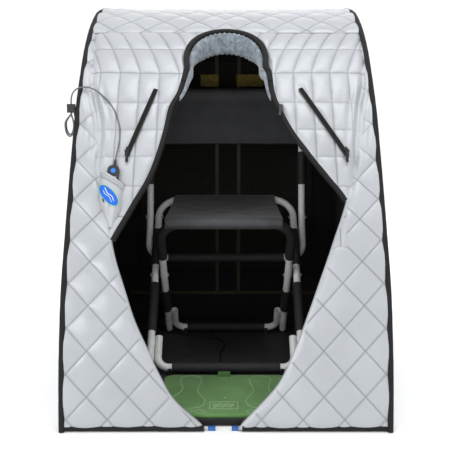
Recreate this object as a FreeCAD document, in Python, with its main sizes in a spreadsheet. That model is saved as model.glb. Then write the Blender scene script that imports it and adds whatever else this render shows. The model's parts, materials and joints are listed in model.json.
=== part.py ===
"""Portable steam sauna: a quilted one-person cabin with a folding chair, foot pad and wired remote.

Millimetres, +Z up. X runs across the cabin, +Y towards its back, and the origin is on the floor under
the middle of the cabin. The driving sizes are in the spreadsheet; every sub-part is an object of this
document and is written to parts/NODE.step.
"""

import FreeCAD, Part
import math
import os
import Sketcher
from FreeCAD import Matrix, Placement, Rotation, Vector

doc = FreeCAD.newDocument("SteamSauna")
sheet = doc.addObject("Spreadsheet::Sheet", "Sizes")

SIZES = {
    # cabin
    "cabin_width": 700, "cabin_depth": 800, "cabin_height": 938, "cloth": 13, "binding": 12,
    "floor_thick": 10, "fit_gap": 0.3, "floor_setback": 33,
    # neck hole
    "neck_half_width": 98, "neck_half_depth": 92, "collar_wide": 17, "piping": 6,
    # heaters
    "heater_thick": 5, "heater_width": 520, "heater_tall": 620, "side_heater_width": 300,
    "side_heater_tall": 330, "strip_wide": 10, "strip_thick": 1,
    # chair
    "tube_dia": 19, "tube_wall": 1.2, "foam_dia": 25, "front_leg_span": 380, "rear_leg_span": 332,
    "back_span": 428, "bend_radius": 62, "base_bend": 28, "bolt_dia": 6, "pin_play": 0.05,
    "seat_rear_y": 267, "seat_rear_z": 400, "seat_front_y": -35, "seat_front_z": 380,
    "front_base_y": -93, "rear_base_y": 241, "base_z": 27.2, "base_side": 84, "foot_high": 17,
    "pivot_y": 224, "back_top_y": 299, "back_top_z": 702, "back_low_y": 172, "back_low_z": 250,
    # foot pad
    "pad_width": 300, "pad_depth": 236, "pad_thick": 9, "pad_front_y": -356, "pad_corner": 26,
    # remote
    "remote_wide": 26, "remote_long": 92, "remote_thick": 12, "pocket_long": 96, "pocket_wide": 60,
    # cords
    "remote_cord": 3.6, "pad_cord": 4.0,
}
for row, (name, value) in enumerate(SIZES.items(), start=1):
    sheet.set("A%d" % row, name)
    sheet.set("B%d" % row, str(value))
    sheet.setAlias("B%d" % row, name)
doc.recompute()


def size(name):
    """A driving size, read back from the sheet."""
    return float(sheet.get(name))


def expr(text):
    """An expression in which each plain alias is read from the sheet."""
    words = []
    for word in text.replace("(", " ( ").replace(")", " ) ").split():
        words.append("Sizes." + word if word in SIZES else word)
    return " ".join(words)


NODES = []


def node(obj, label):
    """Names a finished sub-part; its label is its file's name."""
    obj.Label = label
    NODES.append(obj)
    return obj


def bind(obj, **sizes):
    """Binds properties of an object to the sheet."""
    for key, text in sizes.items():
        obj.setExpression(key.replace("__", "."), expr(text))
    return obj


def block(name, length, width, height, place):
    """A box centred on its placement; its three sizes are expressions."""
    box = doc.addObject("Part::Box", name)
    bind(box, Length=length, Width=width, Height=height)
    doc.recompute()
    half = Vector(-box.Length.Value / 2, -box.Width.Value / 2, -box.Height.Value / 2)
    box.Placement = place * Placement(half, Rotation())
    return box


def at(x, y, z):
    return Placement(Vector(x, y, z), Rotation())


def rod(name, radius, height, start, direction):
    """A cylinder from start along direction; radius and height are expressions."""
    cyl = doc.addObject("Part::Cylinder", name)
    bind(cyl, Radius=radius, Height=height)
    cyl.Placement = Placement(start, Rotation(Vector(0, 0, 1), direction))
    return cyl


def ring(name, outer, inner, height, start, direction):
    """A sleeve: one cylinder with a cylinder taken out of it."""
    cut = doc.addObject("Part::Cut", name)
    cut.Base = rod(name + "_outer", outer, height, start, direction)
    cut.Tool = rod(name + "_bore", inner, height, start, direction)
    return cut


def group(label, objects):
    """Several separate solids as one sub-part."""
    doc.recompute()
    made = doc.addObject("Part::Compound", label + "_group")
    made.Links = objects
    return node(made, label)


def cut(label, base, tools):
    made = doc.addObject("Part::Cut", label + "_cut")
    made.Base = base
    if len(tools) == 1:
        made.Tool = tools[0]
    else:
        joined = doc.addObject("Part::MultiFuse", label + "_tools")
        joined.Shapes = tools
        made.Tool = joined
    return made


def shaped(label, shape, place=None):
    """A sub-part whose form needs Part's own functions."""
    made = doc.addObject("Part::Feature", label + "_shape")
    made.Shape = shape
    if place is not None:
        made.Placement = place
    return node(made, label)


# ---------------------------------------------------------------- cabin cloth

WIDTH, DEPTH, HEIGHT = size("cabin_width"), size("cabin_depth"), size("cabin_height")
CLOTH, BINDING, GAP = size("cloth"), size("binding"), size("fit_gap")
FRONT_Y, BACK_Y = -DEPTH / 2, DEPTH / 2

# side view of the cabin's front and roof, as (y, z): the front leans back and rounds into the roof
PROFILE = [(FRONT_Y, 0), (-362, 196), (-229, 474), (-85, 692), (76, 842), (230, 913), (BACK_Y, HEIGHT)]


def profile_curve(offset):
    """The side view's curve, moved outwards by offset."""
    curve = Part.BSplineCurve()
    curve.interpolate([Vector(0, y, z) for y, z in PROFILE])
    moved = []
    for index in range(len(PROFILE)):
        at_point = curve.parameter(Vector(0, *PROFILE[index]))
        along = Vector(*curve.tangent(at_point)[0])
        outward = Vector(0, -along.z, along.y).normalize()
        moved.append(Vector(0, *PROFILE[index]) + outward * offset)
    shifted = Part.BSplineCurve()
    shifted.interpolate(moved)
    return shifted


def ends(curve):
    return curve.value(curve.FirstParameter), curve.value(curve.LastParameter)


def profile_band(outer, inner, x_low, x_high):
    """The strip between two offsets of the side view, extruded across the cabin."""
    outside, inside = profile_curve(outer), profile_curve(inner)
    (out_start, out_end), (in_start, in_end) = ends(outside), ends(inside)
    edges = [
        outside.toShape(),
        Part.makeLine(out_end, in_end),
        inside.toShape(),
        Part.makeLine(in_start, out_start),
    ]
    face = Part.Face(Part.Wire(Part.__sortEdges__(edges)))
    face.translate(Vector(x_low, 0, 0))
    return face.extrude(Vector(x_high - x_low, 0, 0))


def slab(x_low, x_high, y_low, y_high, z_low, z_high):
    """A plain box shape between two corners."""
    return Part.makeBox(
        x_high - x_low, y_high - y_low, z_high - z_low, Vector(x_low, y_low, z_low)
    )


def outline_prism(points, y_low, y_high, closed_curve=False):
    """A prism along Y with an (x, z) outline, straight or smooth."""
    corners = [Vector(x, y_low, z) for x, z in points]
    if closed_curve:
        curve = Part.BSplineCurve()
        curve.interpolate(corners, PeriodicFlag=True)
        wire = Part.Wire(curve.toShape())
    else:
        wire = Part.makePolygon(corners + [corners[0]])
    return Part.Face(wire).extrude(Vector(0, y_high - y_low, 0))


def neck_prism(grow):
    """An upright elliptical prism through the roof, as large as the neck hole plus grow."""
    ellipse = Part.Ellipse(
        Vector(0, 0, 500), size("neck_half_width") + grow, size("neck_half_depth") + grow
    )
    return Part.Face(Part.Wire(ellipse.toShape())).extrude(Vector(0, 0, 600))


INNER_X = WIDTH / 2 - BINDING - GAP
BACK_INNER_Y = BACK_Y - BINDING - GAP
SPLIT_Y = 0.0

# free edges of the two front flaps, as (x, z) from the neck down to the hem
LEFT_EDGE = [(-93, 768), (-102, 730), (-112, 697), (-126, 672), (-138, 615), (-156, 550), (-187, 487),
             (-223, 426), (-246, 383), (-241, 362), (-222, 308), (-193, 230), (-162, 166), (-130, 103),
             (-104, 62), (-66, 28), (-42, -5)]
RIGHT_EDGE = [(101, 768), (106, 735), (112, 692), (122, 667), (135, 640), (159, 599), (198, 550),
              (231, 508), (263, 466), (256, 440), (237, 396), (199, 304), (168, 228), (131, 144),
              (98, 83), (60, 43), (24, -5)]
TAPE_POINTS = 9
TAPE_WIDE, TAPE_GAP = 12.0, -4.0


def largest(shape):
    """The biggest solid of a shape."""
    return max(shape.Solids, key=lambda solid: solid.Volume)


def smooth_outline(points, back_x):
    """A prism whose one side is a smooth curve through points and whose others are straight."""
    curve = Part.BSplineCurve()
    curve.interpolate([Vector(x, FRONT_Y - 60, z) for x, z in points])
    top, bottom = points[0][1], points[-1][1]
    first, last = ends(curve)
    edges = [
        curve.toShape(),
        Part.makeLine(last, Vector(back_x, FRONT_Y - 60, bottom)),
        Part.makeLine(Vector(back_x, FRONT_Y - 60, bottom), Vector(back_x, FRONT_Y - 60, top)),
        Part.makeLine(Vector(back_x, FRONT_Y - 60, top), first),
    ]
    return Part.Face(Part.Wire(edges)).extrude(Vector(0, DEPTH, 0))


def flap(label, edge, side):
    """One half of the front sheet, from the shoulder down to its hem."""
    low, high = sorted((side * INNER_X, 0.0))
    sheet_shape = profile_band(0, -CLOTH, low, high)
    sheet_shape = sheet_shape.common(slab(low, high, FRONT_Y - 20, SPLIT_Y, BINDING + GAP, 760))
    opening = smooth_outline(edge, -side * 40)
    sheet_shape = sheet_shape.cut(opening).cut(neck_prism(size("piping") + GAP))
    return shaped(label, largest(sheet_shape))


left_flap = flap("left_front_flap", LEFT_EDGE, -1)
right_flap = flap("right_front_flap", RIGHT_EDGE, 1)

roof = profile_band(0, -CLOTH, -INNER_X, INNER_X)
roof = roof.common(slab(-INNER_X, INNER_X, SPLIT_Y - 60, BACK_INNER_Y, 760 + GAP, 1000))
roof = roof.cut(neck_prism(size("piping") + GAP))
shaped("roof_cover", largest(roof))


def zip_tape(label, edge, cloth):
    """The zip tape along the upper part of a flap's free edge, from under the neck binding."""
    upper = edge[:TAPE_POINTS]
    side = 1 if upper[0][0] > 0 else -1
    near = [(x - side * TAPE_GAP, z) for x, z in upper]
    far = [(x - side * TAPE_WIDE, z) for x, z in upper]
    outline = near + far[::-1]
    tape = profile_band(-2, -CLOTH + 3, -INNER_X, INNER_X).common(
        outline_prism(outline, FRONT_Y - 20, SPLIT_Y - 24)
    )
    tape = tape.cut(neck_prism(size("piping") + GAP)).cut(cloth.Shape)
    return shaped(label, largest(tape))


zip_tape("left_zip_tape", LEFT_EDGE, left_flap)
zip_tape("right_zip_tape", RIGHT_EDGE, right_flap)



# ---------------------------------------------------------------- walls, floor and edge bindings

WALL_OUT = WIDTH / 2 - 6
WALL_IN = WALL_OUT - CLOTH
FLOOR_TOP = size("floor_thick")


def side_wall(label, side):
    """A quilted side wall: the side view, just inside the front and roof sheet."""
    low, high = sorted((side * WALL_OUT, side * WALL_IN))
    plate = slab(low, high, FRONT_Y, BACK_Y - CLOTH - GAP, 0, HEIGHT)
    outside = profile_band(-CLOTH - 2 * GAP, 400, low - 1, high + 1)
    return shaped(label, largest(plate.cut(outside)))


def edge_binding(label, side):
    """The binding tape that closes the seam between a side wall and the front sheet."""
    low, high = sorted((side * WIDTH / 2, side * (WIDTH / 2 - BINDING)))
    tape = profile_band(0, -CLOTH, low, high)
    return shaped(label, largest(tape.common(slab(low, high, FRONT_Y, BACK_INNER_Y, 0, 1000))))


for side, word in ((-1, "left"), (1, "right")):
    side_wall(word + "_side_wall", side)
    edge_binding(word + "_edge_binding", side)

wall_back = slab(-INNER_X, INNER_X, BACK_Y - CLOTH, BACK_Y - 2, BINDING + GAP, HEIGHT - CLOTH - 2)
shaped("back_wall", wall_back)
back_frame = slab(-WIDTH / 2, WIDTH / 2, BACK_Y - BINDING, BACK_Y, 0, HEIGHT)
back_hole = slab(-INNER_X, INNER_X, BACK_Y - 2 * BINDING, BACK_Y + 1, BINDING, HEIGHT - BINDING)
shaped("back_binding", back_frame.cut(back_hole))

hem_band = profile_band(0, -CLOTH, -INNER_X, INNER_X)
left_hem = hem_band.common(slab(-INNER_X, -46, FRONT_Y - 5, 0, 0, BINDING))
right_hem = hem_band.common(slab(34, INNER_X, FRONT_Y - 5, 0, 0, BINDING))

FLOOR_FRONT = FRONT_Y + size("floor_setback")
FLOOR_BACK = BACK_Y - CLOTH - GAP
floor = doc.addObject("PartDesign::Body", "floor_body")
floor_outline = floor.newObject("Sketcher::SketchObject", "floor_outline")


def plane(body, role):
    """One of a body's own origin planes."""
    return next(item for item in body.Origin.OriginFeatures if item.Role == role)


def rectangle(sketch, width, depth, centre_x, centre_y):
    """A rectangle bound to the sheet, centred on a point; all four are expressions."""
    half_x, half_y = 50, 40
    corners = [Vector(-half_x, -half_y), Vector(half_x, -half_y), Vector(half_x, half_y),
               Vector(-half_x, half_y)]
    for index in range(4):
        sketch.addGeometry(Part.LineSegment(corners[index], corners[(index + 1) % 4]))
    for index in range(4):
        sketch.addConstraint(Sketcher.Constraint("Coincident", index, 2, (index + 1) % 4, 1))
    for index in (0, 2):
        sketch.addConstraint(Sketcher.Constraint("Horizontal", index))
    for index in (1, 3):
        sketch.addConstraint(Sketcher.Constraint("Vertical", index))
    names = {
        "wide": Sketcher.Constraint("DistanceX", 0, 1, 0, 2, 2 * half_x),
        "deep": Sketcher.Constraint("DistanceY", 1, 1, 1, 2, 2 * half_y),
        "low_x": Sketcher.Constraint("DistanceX", -1, 1, 0, 1, -half_x),
        "low_y": Sketcher.Constraint("DistanceY", -1, 1, 0, 1, -half_y),
    }
    for name, constraint in names.items():
        sketch.renameConstraint(sketch.addConstraint(constraint), name)
    sketch.setExpression("Constraints.wide", expr(width))
    sketch.setExpression("Constraints.deep", expr(depth))
    sketch.setExpression("Constraints.low_x", expr("( %s ) - ( %s ) / 2" % (centre_x, width)))
    sketch.setExpression("Constraints.low_y", expr("( %s ) - ( %s ) / 2" % (centre_y, depth)))


def on_plane(sketch, body, role, lift=0.0):
    sketch.AttachmentSupport = [(plane(body, role), "")]
    sketch.MapMode = "FlatFace"
    sketch.AttachmentOffset = at(0, 0, lift)


def pad(body, sketch, length):
    """A pad as long as the expression says, which becomes the body's tip."""
    made = body.newObject("PartDesign::Pad", sketch.Name + "_pad")
    made.Profile = sketch
    made.setExpression("Length", expr(length))
    body.Tip = made
    return made


on_plane(floor_outline, floor, "XY_Plane")
rectangle(floor_outline, "cabin_width - 2 * ( cloth + 6.5 )", "cabin_depth - floor_setback - cloth - 0.3",
          "0", "( floor_setback - cloth - 0.3 ) / 2")
pad(floor, floor_outline, "floor_thick")
node(floor, "floor_panel")
floor_hem = slab(-250, 250, FLOOR_FRONT - 3.4, FLOOR_FRONT - 0.4, 1, FLOOR_TOP - 1)
shaped("front_hems", Part.makeCompound([left_hem, right_hem, floor_hem]))

# ---------------------------------------------------------------- neck hole

around = profile_band(2.5, -CLOTH - 4, -200, 200)
behind = slab(-200, 200, -30, 200, 600, 1100)
shaped("neck_binding", largest(neck_prism(size("piping")).cut(neck_prism(0)).common(around).common(behind)))
collar_band = profile_band(4, -CLOTH - 14, -200, 200)
collar = neck_prism(-GAP).cut(neck_prism(-size("collar_wide"))).common(collar_band).common(behind)
shaped("neck_collar", largest(collar))

# ---------------------------------------------------------------- fittings on the front sheet


def surface_frame(x, z, lift, tilt):
    """A placement on the front sheet: local Y up the cloth, local Z straight out of it."""
    curve = profile_curve(0)
    low, high = curve.FirstParameter, curve.LastParameter
    for _ in range(50):
        middle = (low + high) / 2
        low, high = (middle, high) if curve.value(middle).z < z else (low, middle)
    on_curve = curve.value(low)
    up = Vector(*curve.tangent(low)[0])
    outward = Vector(0, -up.z, up.y)
    spot = Vector(x, on_curve.y, on_curve.z) + outward * lift
    turned = Rotation(outward, tilt)
    up = turned.multVec(up)
    across = up.cross(outward)
    matrix = Matrix(across.x, up.x, outward.x, spot.x, across.y, up.y, outward.y, spot.y,
                    across.z, up.z, outward.z, spot.z, 0, 0, 0, 1)
    return Placement(matrix)


# each arm zip as (x, z) from its top to its lower end
ARM_ZIPS = {"left": [(-165, 704), (-222, 561)], "right": [(175, 706), (271, 561)]}
for word, ((top_x, top_z), (low_x, low_z)) in ARM_ZIPS.items():
    strip = outline_prism(
        [(top_x - 7, top_z), (top_x + 7, top_z), (low_x + 7, low_z - 12), (low_x - 7, low_z - 12)],
        FRONT_Y, SPLIT_Y,
    )
    teeth = profile_band(1.6, GAP, -INNER_X, INNER_X).common(strip)
    shaped(word + "_arm_zip", largest(teeth))
    lean = math.degrees(math.atan2(low_x - top_x, 160))
    slider_place = surface_frame(low_x, low_z + 8, 6.6, lean)
    slider = block(word + "_arm_slider_block", "9", "14", "3.4", slider_place)
    node(slider, word + "_arm_slider")
    pull_place = surface_frame(low_x, low_z + 8, 6.6, 0) * at(0, -17, 3.6)
    pull = block(word + "_arm_pull_block", "6.5", "30", "1.6", pull_place)
    node(pull, word + "_arm_pull")

main_slider_place = surface_frame(127, 664, 4.6, -8)
node(block("main_slider_block", "8", "13", "6", main_slider_place), "main_zip_slider")
main_pull_place = main_slider_place * at(0, -14, 5)
node(block("main_pull_block", "6", "26", "1.6", main_pull_place), "main_zip_pull")

left_tab = block("left_tab", "16", "9", "7", at(-30, FRONT_Y + 10, 3.6))
right_tab = block("right_tab", "14", "9", "7", at(19, FRONT_Y + 10, 3.6))
group("zip_end_tabs", [left_tab, right_tab])

# ---------------------------------------------------------------- remote and its pocket

REMOTE_TILT = -6
REMOTE_LIFT = 10.5
remote_frame = surface_frame(-254, 486, REMOTE_LIFT, REMOTE_TILT)
pocket_outer = block("pocket_outer", "pocket_wide", "pocket_long", "17", remote_frame * at(0, -22, -0.5))
pocket_slot = block("pocket_slot", "remote_wide + 4", "pocket_long", "remote_thick + 2", remote_frame * at(0, -18, 0))
node(cut("remote_pocket", pocket_outer, [pocket_slot]), "remote_pocket")
badge = doc.addObject("Part::Ellipse", "badge_outline")
badge.MajorRadius, badge.MinorRadius = 30, 13
doc.recompute()
plate = Part.Face(Part.Wire(badge.Shape.Edges)).extrude(Vector(0, 0, 1.2))
shaped("pocket_badge", plate, remote_frame * Placement(Vector(0, -20, 8.4), Rotation(Vector(0, 0, 1), -44)))

remote = doc.addObject("PartDesign::Body", "remote_body")
remote_outline = remote.newObject("Sketcher::SketchObject", "remote_outline")
on_plane(remote_outline, remote, "XY_Plane", -6.0)
rectangle(remote_outline, "remote_wide", "remote_long", "0", "8")
remote_pad = pad(remote, remote_outline, "remote_thick")
doc.recompute()
upright = ["Edge%d" % (n + 1) for n, edge in enumerate(remote_pad.Shape.Edges)
           if abs(edge.tangentAt(edge.FirstParameter).z) > 0.9]
rounded = remote.newObject("PartDesign::Fillet", "remote_rounding")
rounded.Base = (remote_pad, upright)
rounded.Radius = 10
remote.Tip = rounded
remote.Placement = remote_frame
doc.recompute()
BUTTONS = {"power_button": (0, 41, 5.5), "plus_button": (-6, 24, 3.6), "minus_button": (6, 24, 3.6)}
wells = [rod(name + "_well", "%s + 0.3" % radius, "3.2", remote_frame.multVec(Vector(x, y, 3)),
             remote_frame.Rotation.multVec(Vector(0, 0, 1))) for name, (x, y, radius) in BUTTONS.items()]
window_place = remote_frame * at(0, 4, 5.4)
window_well = block("window_well", "20.4", "14.4", "1.4", window_place)
node(cut("remote_shell", remote, wells + [window_well]), "remote_shell")
node(block("window_block", "20", "14", "1", window_place), "remote_window")
for name, (x, y, radius) in BUTTONS.items():
    node(rod(name + "_rod", str(radius), "2.0", remote_frame.multVec(Vector(x, y, 4.4)),
             remote_frame.Rotation.multVec(Vector(0, 0, 1))), name)
RELIEF = 16.0
relief_start = remote_frame.multVec(Vector(0, 8 + size("remote_long") / 2, 0))
relief = doc.addObject("Part::Cone", "relief_cone")
relief.Radius1, relief.Radius2, relief.Height = 4.2, 2.6, RELIEF
relief.Placement = Placement(relief_start, Rotation(Vector(0, 0, 1), remote_frame.Rotation.multVec(Vector(0, 1, 0))))
node(relief, "remote_cord_relief")

# ---------------------------------------------------------------- cords


def rounded_path(points, radii=None):
    """Straight runs joined by tangent arcs, each as large as its two runs allow or as given."""
    corners = [Vector(*point) for point in points]
    edges, start, made = [], corners[0], []
    for index in range(1, len(corners) - 1):
        before, here, after = corners[index - 1], corners[index], corners[index + 1]
        into, out = here - before, after - here
        turn = into.getAngle(out)
        radius = 0.45 * min(into.Length, out.Length) / math.tan(turn / 2)
        if radii:
            radius = radii[index - 1]
        reach = radius * math.tan(turn / 2)
        into.normalize()
        out.normalize()
        first, last = here - into * reach, here + out * reach
        bisector = (out - into).normalize()
        centre = here + bisector * (radius / math.cos(turn / 2))
        edges.append(Part.makeLine(start, first))
        edges.append(Part.Arc(first, centre - bisector * radius, last).toShape())
        start = last
        made.append(round(radius, 1))
    edges.append(Part.makeLine(start, corners[-1]))
    return Part.Wire(edges), made


def swept(wire, radius):
    """A round rod along a wire."""
    first = wire.OrderedEdges[0]
    along = first.tangentAt(first.FirstParameter)
    section = Part.Wire(Part.makeCircle(radius, wire.OrderedVertexes[0].Point, along))
    return wire.makePipeShell([section], True, False)


def cord(label, points, diameter):
    """A free cord's tube; its bends and its volume are printed."""
    wire, radii = rounded_path(points)
    made = swept(wire, diameter / 2)
    share = made.Volume / (math.pi * diameter * diameter / 4 * wire.Length)
    print("cord", label, "length", round(wire.Length), "bends", radii, "volume share", round(share, 4))
    shaped(label, made)


relief_end = remote_frame.multVec(Vector(0, 8 + size("remote_long") / 2 + RELIEF, 0))
relief_way = remote_frame.Rotation.multVec(Vector(0, 1, 0))
REMOTE_ROUTE = [tuple(relief_end), tuple(relief_end + relief_way * 12), (-243, -174, 579), (-241, -158, 597),
                (-244, -137, 628), (-260, -111, 665), (-289, -90, 695), (-318, -79, 713), (-343, -84, 713), (-355, -98, 704), (-359, -110, 689),
                (-359, -110, 674)]
cord("remote_cord", REMOTE_ROUTE, size("remote_cord"))
TAIL_ROUTE = [(-357, -104, 660), (-357, -92, 660), (-357, -80, 640), (-355, -69, 613), (-351, -60, 594),
              (-351, -60, 578)]
cord("remote_cord_tail", TAIL_ROUTE, size("remote_cord"))
node(block("tie_block", "18", "12", "20", at(-359.2, -110, 664)), "cord_tie")
HANK_WIDE, HANK_TALL, HANK_THICK = 26.0, 60.0, 11.0
hank_top, hank_x, hank_y = 654.0, -364.0, -110.0
half = HANK_WIDE / 2
hank = slab(hank_x - half, hank_x + half, hank_y - HANK_THICK / 2, hank_y + HANK_THICK / 2,
            hank_top - HANK_TALL + half, hank_top - half)
for middle in (hank_top - half, hank_top - HANK_TALL + half):
    hank = hank.fuse(Part.makeCylinder(half, HANK_THICK, Vector(hank_x, hank_y - HANK_THICK / 2, middle),
                                       Vector(0, 1, 0)))
shaped("remote_cord_hank", hank.removeSplitter())
node(block("grommet_block", "12", "14", "18", at(-350, -60, 569)), "cord_grommet")

CORD_Z = FLOOR_TOP + size("pad_cord") / 2 + 0.3
PAD_ROUTE = [(-5, -107.4, CORD_Z), (-5, -84, CORD_Z), (-8, -36, CORD_Z), (-17, 14, CORD_Z), (-15, 60, CORD_Z),
             (-4, 104, CORD_Z), (-2, 146, CORD_Z), (-20, 176, CORD_Z), (-58, 196, CORD_Z), (-112, 209, CORD_Z),
             (-164, 232, CORD_Z), (-200, 280, CORD_Z), (-217, 328, CORD_Z), (-220, 351, CORD_Z),
             (-220, 370, CORD_Z)]
cord("pad_cord", PAD_ROUTE, size("pad_cord"))
node(block("socket_block", "26", "14", "20", at(-220, 377, FLOOR_TOP + GAP + 10)), "pad_socket")

# ---------------------------------------------------------------- foot pad

pad_body = doc.addObject("PartDesign::Body", "foot_pad_body")
pad_outline = pad_body.newObject("Sketcher::SketchObject", "foot_pad_outline")
on_plane(pad_outline, pad_body, "XY_Plane", FLOOR_TOP + GAP)
rectangle(pad_outline, "pad_width", "pad_depth", "0", "pad_front_y + pad_depth / 2")
pad_solid = pad(pad_body, pad_outline, "pad_thick")
doc.recompute()
upright = ["Edge%d" % (n + 1) for n, edge in enumerate(pad_solid.Shape.Edges)
           if abs(edge.tangentAt(edge.FirstParameter).z) > 0.9]
pad_rounding = pad_body.newObject("PartDesign::Fillet", "foot_pad_rounding")
pad_rounding.Base = (pad_solid, upright)
pad_rounding.setExpression("Radius", expr("pad_corner"))
pad_body.Tip = pad_rounding
node(pad_body, "foot_pad")
hub_z = FLOOR_TOP + GAP + size("pad_thick")
hub = block("hub_block", "30", "22", "7", at(-5, -128, hub_z + 3.5))
hub_neck = block("hub_neck_block", "14", "11.8", "9", at(-5, -113.7, FLOOR_TOP + GAP + 4.5))
group("foot_pad_hub", [hub, hub_neck])

# ---------------------------------------------------------------- heaters

HEATER_Y = BACK_Y - CLOTH - GAP
heater_at = at(0, HEATER_Y - 2.8, 480)
node(block("back_heater_block", "heater_width", "heater_thick", "heater_tall", heater_at), "back_heater")
STRIP_Y = HEATER_Y - 6
strips = [block("cross_strip", "heater_width + 60", "strip_thick", "strip_wide", at(-6, STRIP_Y, 94))]
for x in (-27, 38):
    strips.append(block("upright_strip_%d" % abs(x), "strip_wide", "strip_thick", "760", at(x, STRIP_Y, 480)))
group("heater_strips", strips)
for side, word in ((-1, "left"), (1, "right")):
    spot = at(side * (WALL_IN - 0.3 - 2.5), 120, 330)
    node(block(word + "_heater_block", "heater_thick", "side_heater_width", "side_heater_tall", spot),
         word + "_heater")

# ---------------------------------------------------------------- chair

TUBE, WALL, FOAM = size("tube_dia"), size("tube_wall"), size("foam_dia")
BASE_Z = size("base_z")
FRONT_BASE = Vector(0, size("front_base_y"), BASE_Z)
REAR_BASE = Vector(0, size("rear_base_y"), BASE_Z)
SEAT_REAR = Vector(0, size("seat_rear_y"), size("seat_rear_z"))
SEAT_FRONT = Vector(0, size("seat_front_y"), size("seat_front_z"))
FRONT_LEG = SEAT_REAR - FRONT_BASE
REAR_LEG = SEAT_FRONT - REAR_BASE
LEG_FOOT = -8.0


def leg_frame(base, leg):
    """The placement whose local Y runs up a leg from its base bar and whose local X is the cabin's."""
    return Placement(base, Rotation(Vector(1, 0, 0), math.degrees(math.atan2(leg.z, leg.y))))


FRONT_FRAME = leg_frame(FRONT_BASE, FRONT_LEG)
REAR_FRAME = leg_frame(REAR_BASE, REAR_LEG)


def u_tube(name, span, bend, bar_y, end_y, place):
    """A U of tube in a body's XY plane: a bar at bar_y with a bend and a leg at each side."""
    body = doc.addObject("PartDesign::Body", name + "_body")
    path = body.newObject("Sketcher::SketchObject", name + "_path")
    on_plane(path, body, "XY_Plane")
    half, turn = size_of(span) / 2, size_of(bend)
    up = 1 if end_y > bar_y else -1
    near = bar_y + up * turn
    quarter = math.pi / 2
    path.addGeometry(Part.LineSegment(Vector(-half, end_y), Vector(-half, near)))
    angles = (quarter, 2 * quarter) if up < 0 else (2 * quarter, 3 * quarter)
    path.addGeometry(Part.ArcOfCircle(Part.Circle(Vector(-half + turn, near), Vector(0, 0, 1), turn), *angles))
    path.addGeometry(Part.LineSegment(Vector(-half + turn, bar_y), Vector(half - turn, bar_y)))
    angles = (0, quarter) if up < 0 else (3 * quarter, 4 * quarter)
    path.addGeometry(Part.ArcOfCircle(Part.Circle(Vector(half - turn, near), Vector(0, 0, 1), turn), *angles))
    path.addGeometry(Part.LineSegment(Vector(half, near), Vector(half, end_y)))
    joins = ((0, 2, 1, 2), (1, 1, 2, 1), (2, 2, 3, 2), (3, 1, 4, 1))
    if up > 0:
        joins = ((0, 2, 1, 1), (1, 2, 2, 1), (2, 2, 3, 1), (3, 2, 4, 1))
    for join in joins:
        path.addConstraint(Sketcher.Constraint("Tangent", *join))
    path.addConstraint(Sketcher.Constraint("Vertical", 0))
    path.addConstraint(Sketcher.Constraint("Symmetric", 0, 1, 4, 2, -2))
    path.addConstraint(Sketcher.Constraint("Equal", 1, 3))
    names = {
        "span": Sketcher.Constraint("DistanceX", 0, 1, 4, 2, 2 * half),
        "bend": Sketcher.Constraint("Radius", 1, turn),
        "bar": Sketcher.Constraint("DistanceY", -1, 1, 2, 1, bar_y),
        "foot": Sketcher.Constraint("DistanceY", -1, 1, 0, 1, end_y),
    }
    for key, constraint in names.items():
        path.renameConstraint(path.addConstraint(constraint), key)
    path.setExpression("Constraints.span", expr(span))
    path.setExpression("Constraints.bend", expr(bend))
    section = body.newObject("Sketcher::SketchObject", name + "_section")
    on_plane(section, body, "XZ_Plane", -end_y)
    for key, text, radius in (("outer", "tube_dia / 2", TUBE / 2),
                              ("bore", "tube_dia / 2 - tube_wall", TUBE / 2 - WALL)):
        circle = section.addGeometry(Part.Circle(Vector(-half, 0), Vector(0, 0, 1), radius))
        section.renameConstraint(section.addConstraint(Sketcher.Constraint("Radius", circle, radius)), key)
        section.setExpression("Constraints." + key, expr(text))
        name_x = section.addConstraint(Sketcher.Constraint("DistanceX", -1, 1, circle, 3, -half))
        section.renameConstraint(name_x, key + "_x")
        section.setExpression("Constraints.%s_x" % key, expr("0 - ( %s ) / 2" % span))
        section.addConstraint(Sketcher.Constraint("PointOnObject", circle, 3, -1))
    pipe = body.newObject("PartDesign::AdditivePipe", name + "_pipe")
    pipe.Profile = section
    pipe.Spine = path
    body.Tip = pipe
    body.Placement = place
    return body


def size_of(text):
    """The value of an expression of sheet sizes."""
    scratch = "C1"
    sheet.set(scratch, "=" + " ".join(text.split()))
    doc.recompute()
    value = float(sheet.get(scratch))
    sheet.clear(scratch)
    return value


front_legs = u_tube("front_legs", "front_leg_span", "bend_radius", FRONT_LEG.Length, LEG_FOOT, FRONT_FRAME)
front_base = u_tube("front_base", "front_leg_span - 2 * tube_dia - 1.2", "base_bend", 0, size("base_side"),
                    FRONT_FRAME)
rear_legs = u_tube("rear_legs", "rear_leg_span", "bend_radius", REAR_LEG.Length, LEG_FOOT, REAR_FRAME)
rear_base = u_tube("rear_base", "rear_leg_span - 2 * tube_dia - 1.2", "base_bend", 0, size("base_side"),
                   REAR_FRAME)

# where the two leg frames cross, seen from the side
front_rise, rear_rise = FRONT_LEG.z / FRONT_LEG.y, REAR_LEG.z / REAR_LEG.y
CROSS_Y = (REAR_BASE.z - FRONT_BASE.z + front_rise * FRONT_BASE.y - rear_rise * REAR_BASE.y) / (
    front_rise - rear_rise)
CROSS = Vector(0, CROSS_Y, FRONT_BASE.z + front_rise * (CROSS_Y - FRONT_BASE.y))
PIVOT = Vector(0, size("pivot_y"), FRONT_BASE.z + front_rise * (size("pivot_y") - FRONT_BASE.y))

BOLT = size("bolt_dia") / 2
FRONT_X, REAR_X, BACK_X = size("front_leg_span") / 2, size("rear_leg_span") / 2, size("back_span") / 2


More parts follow.
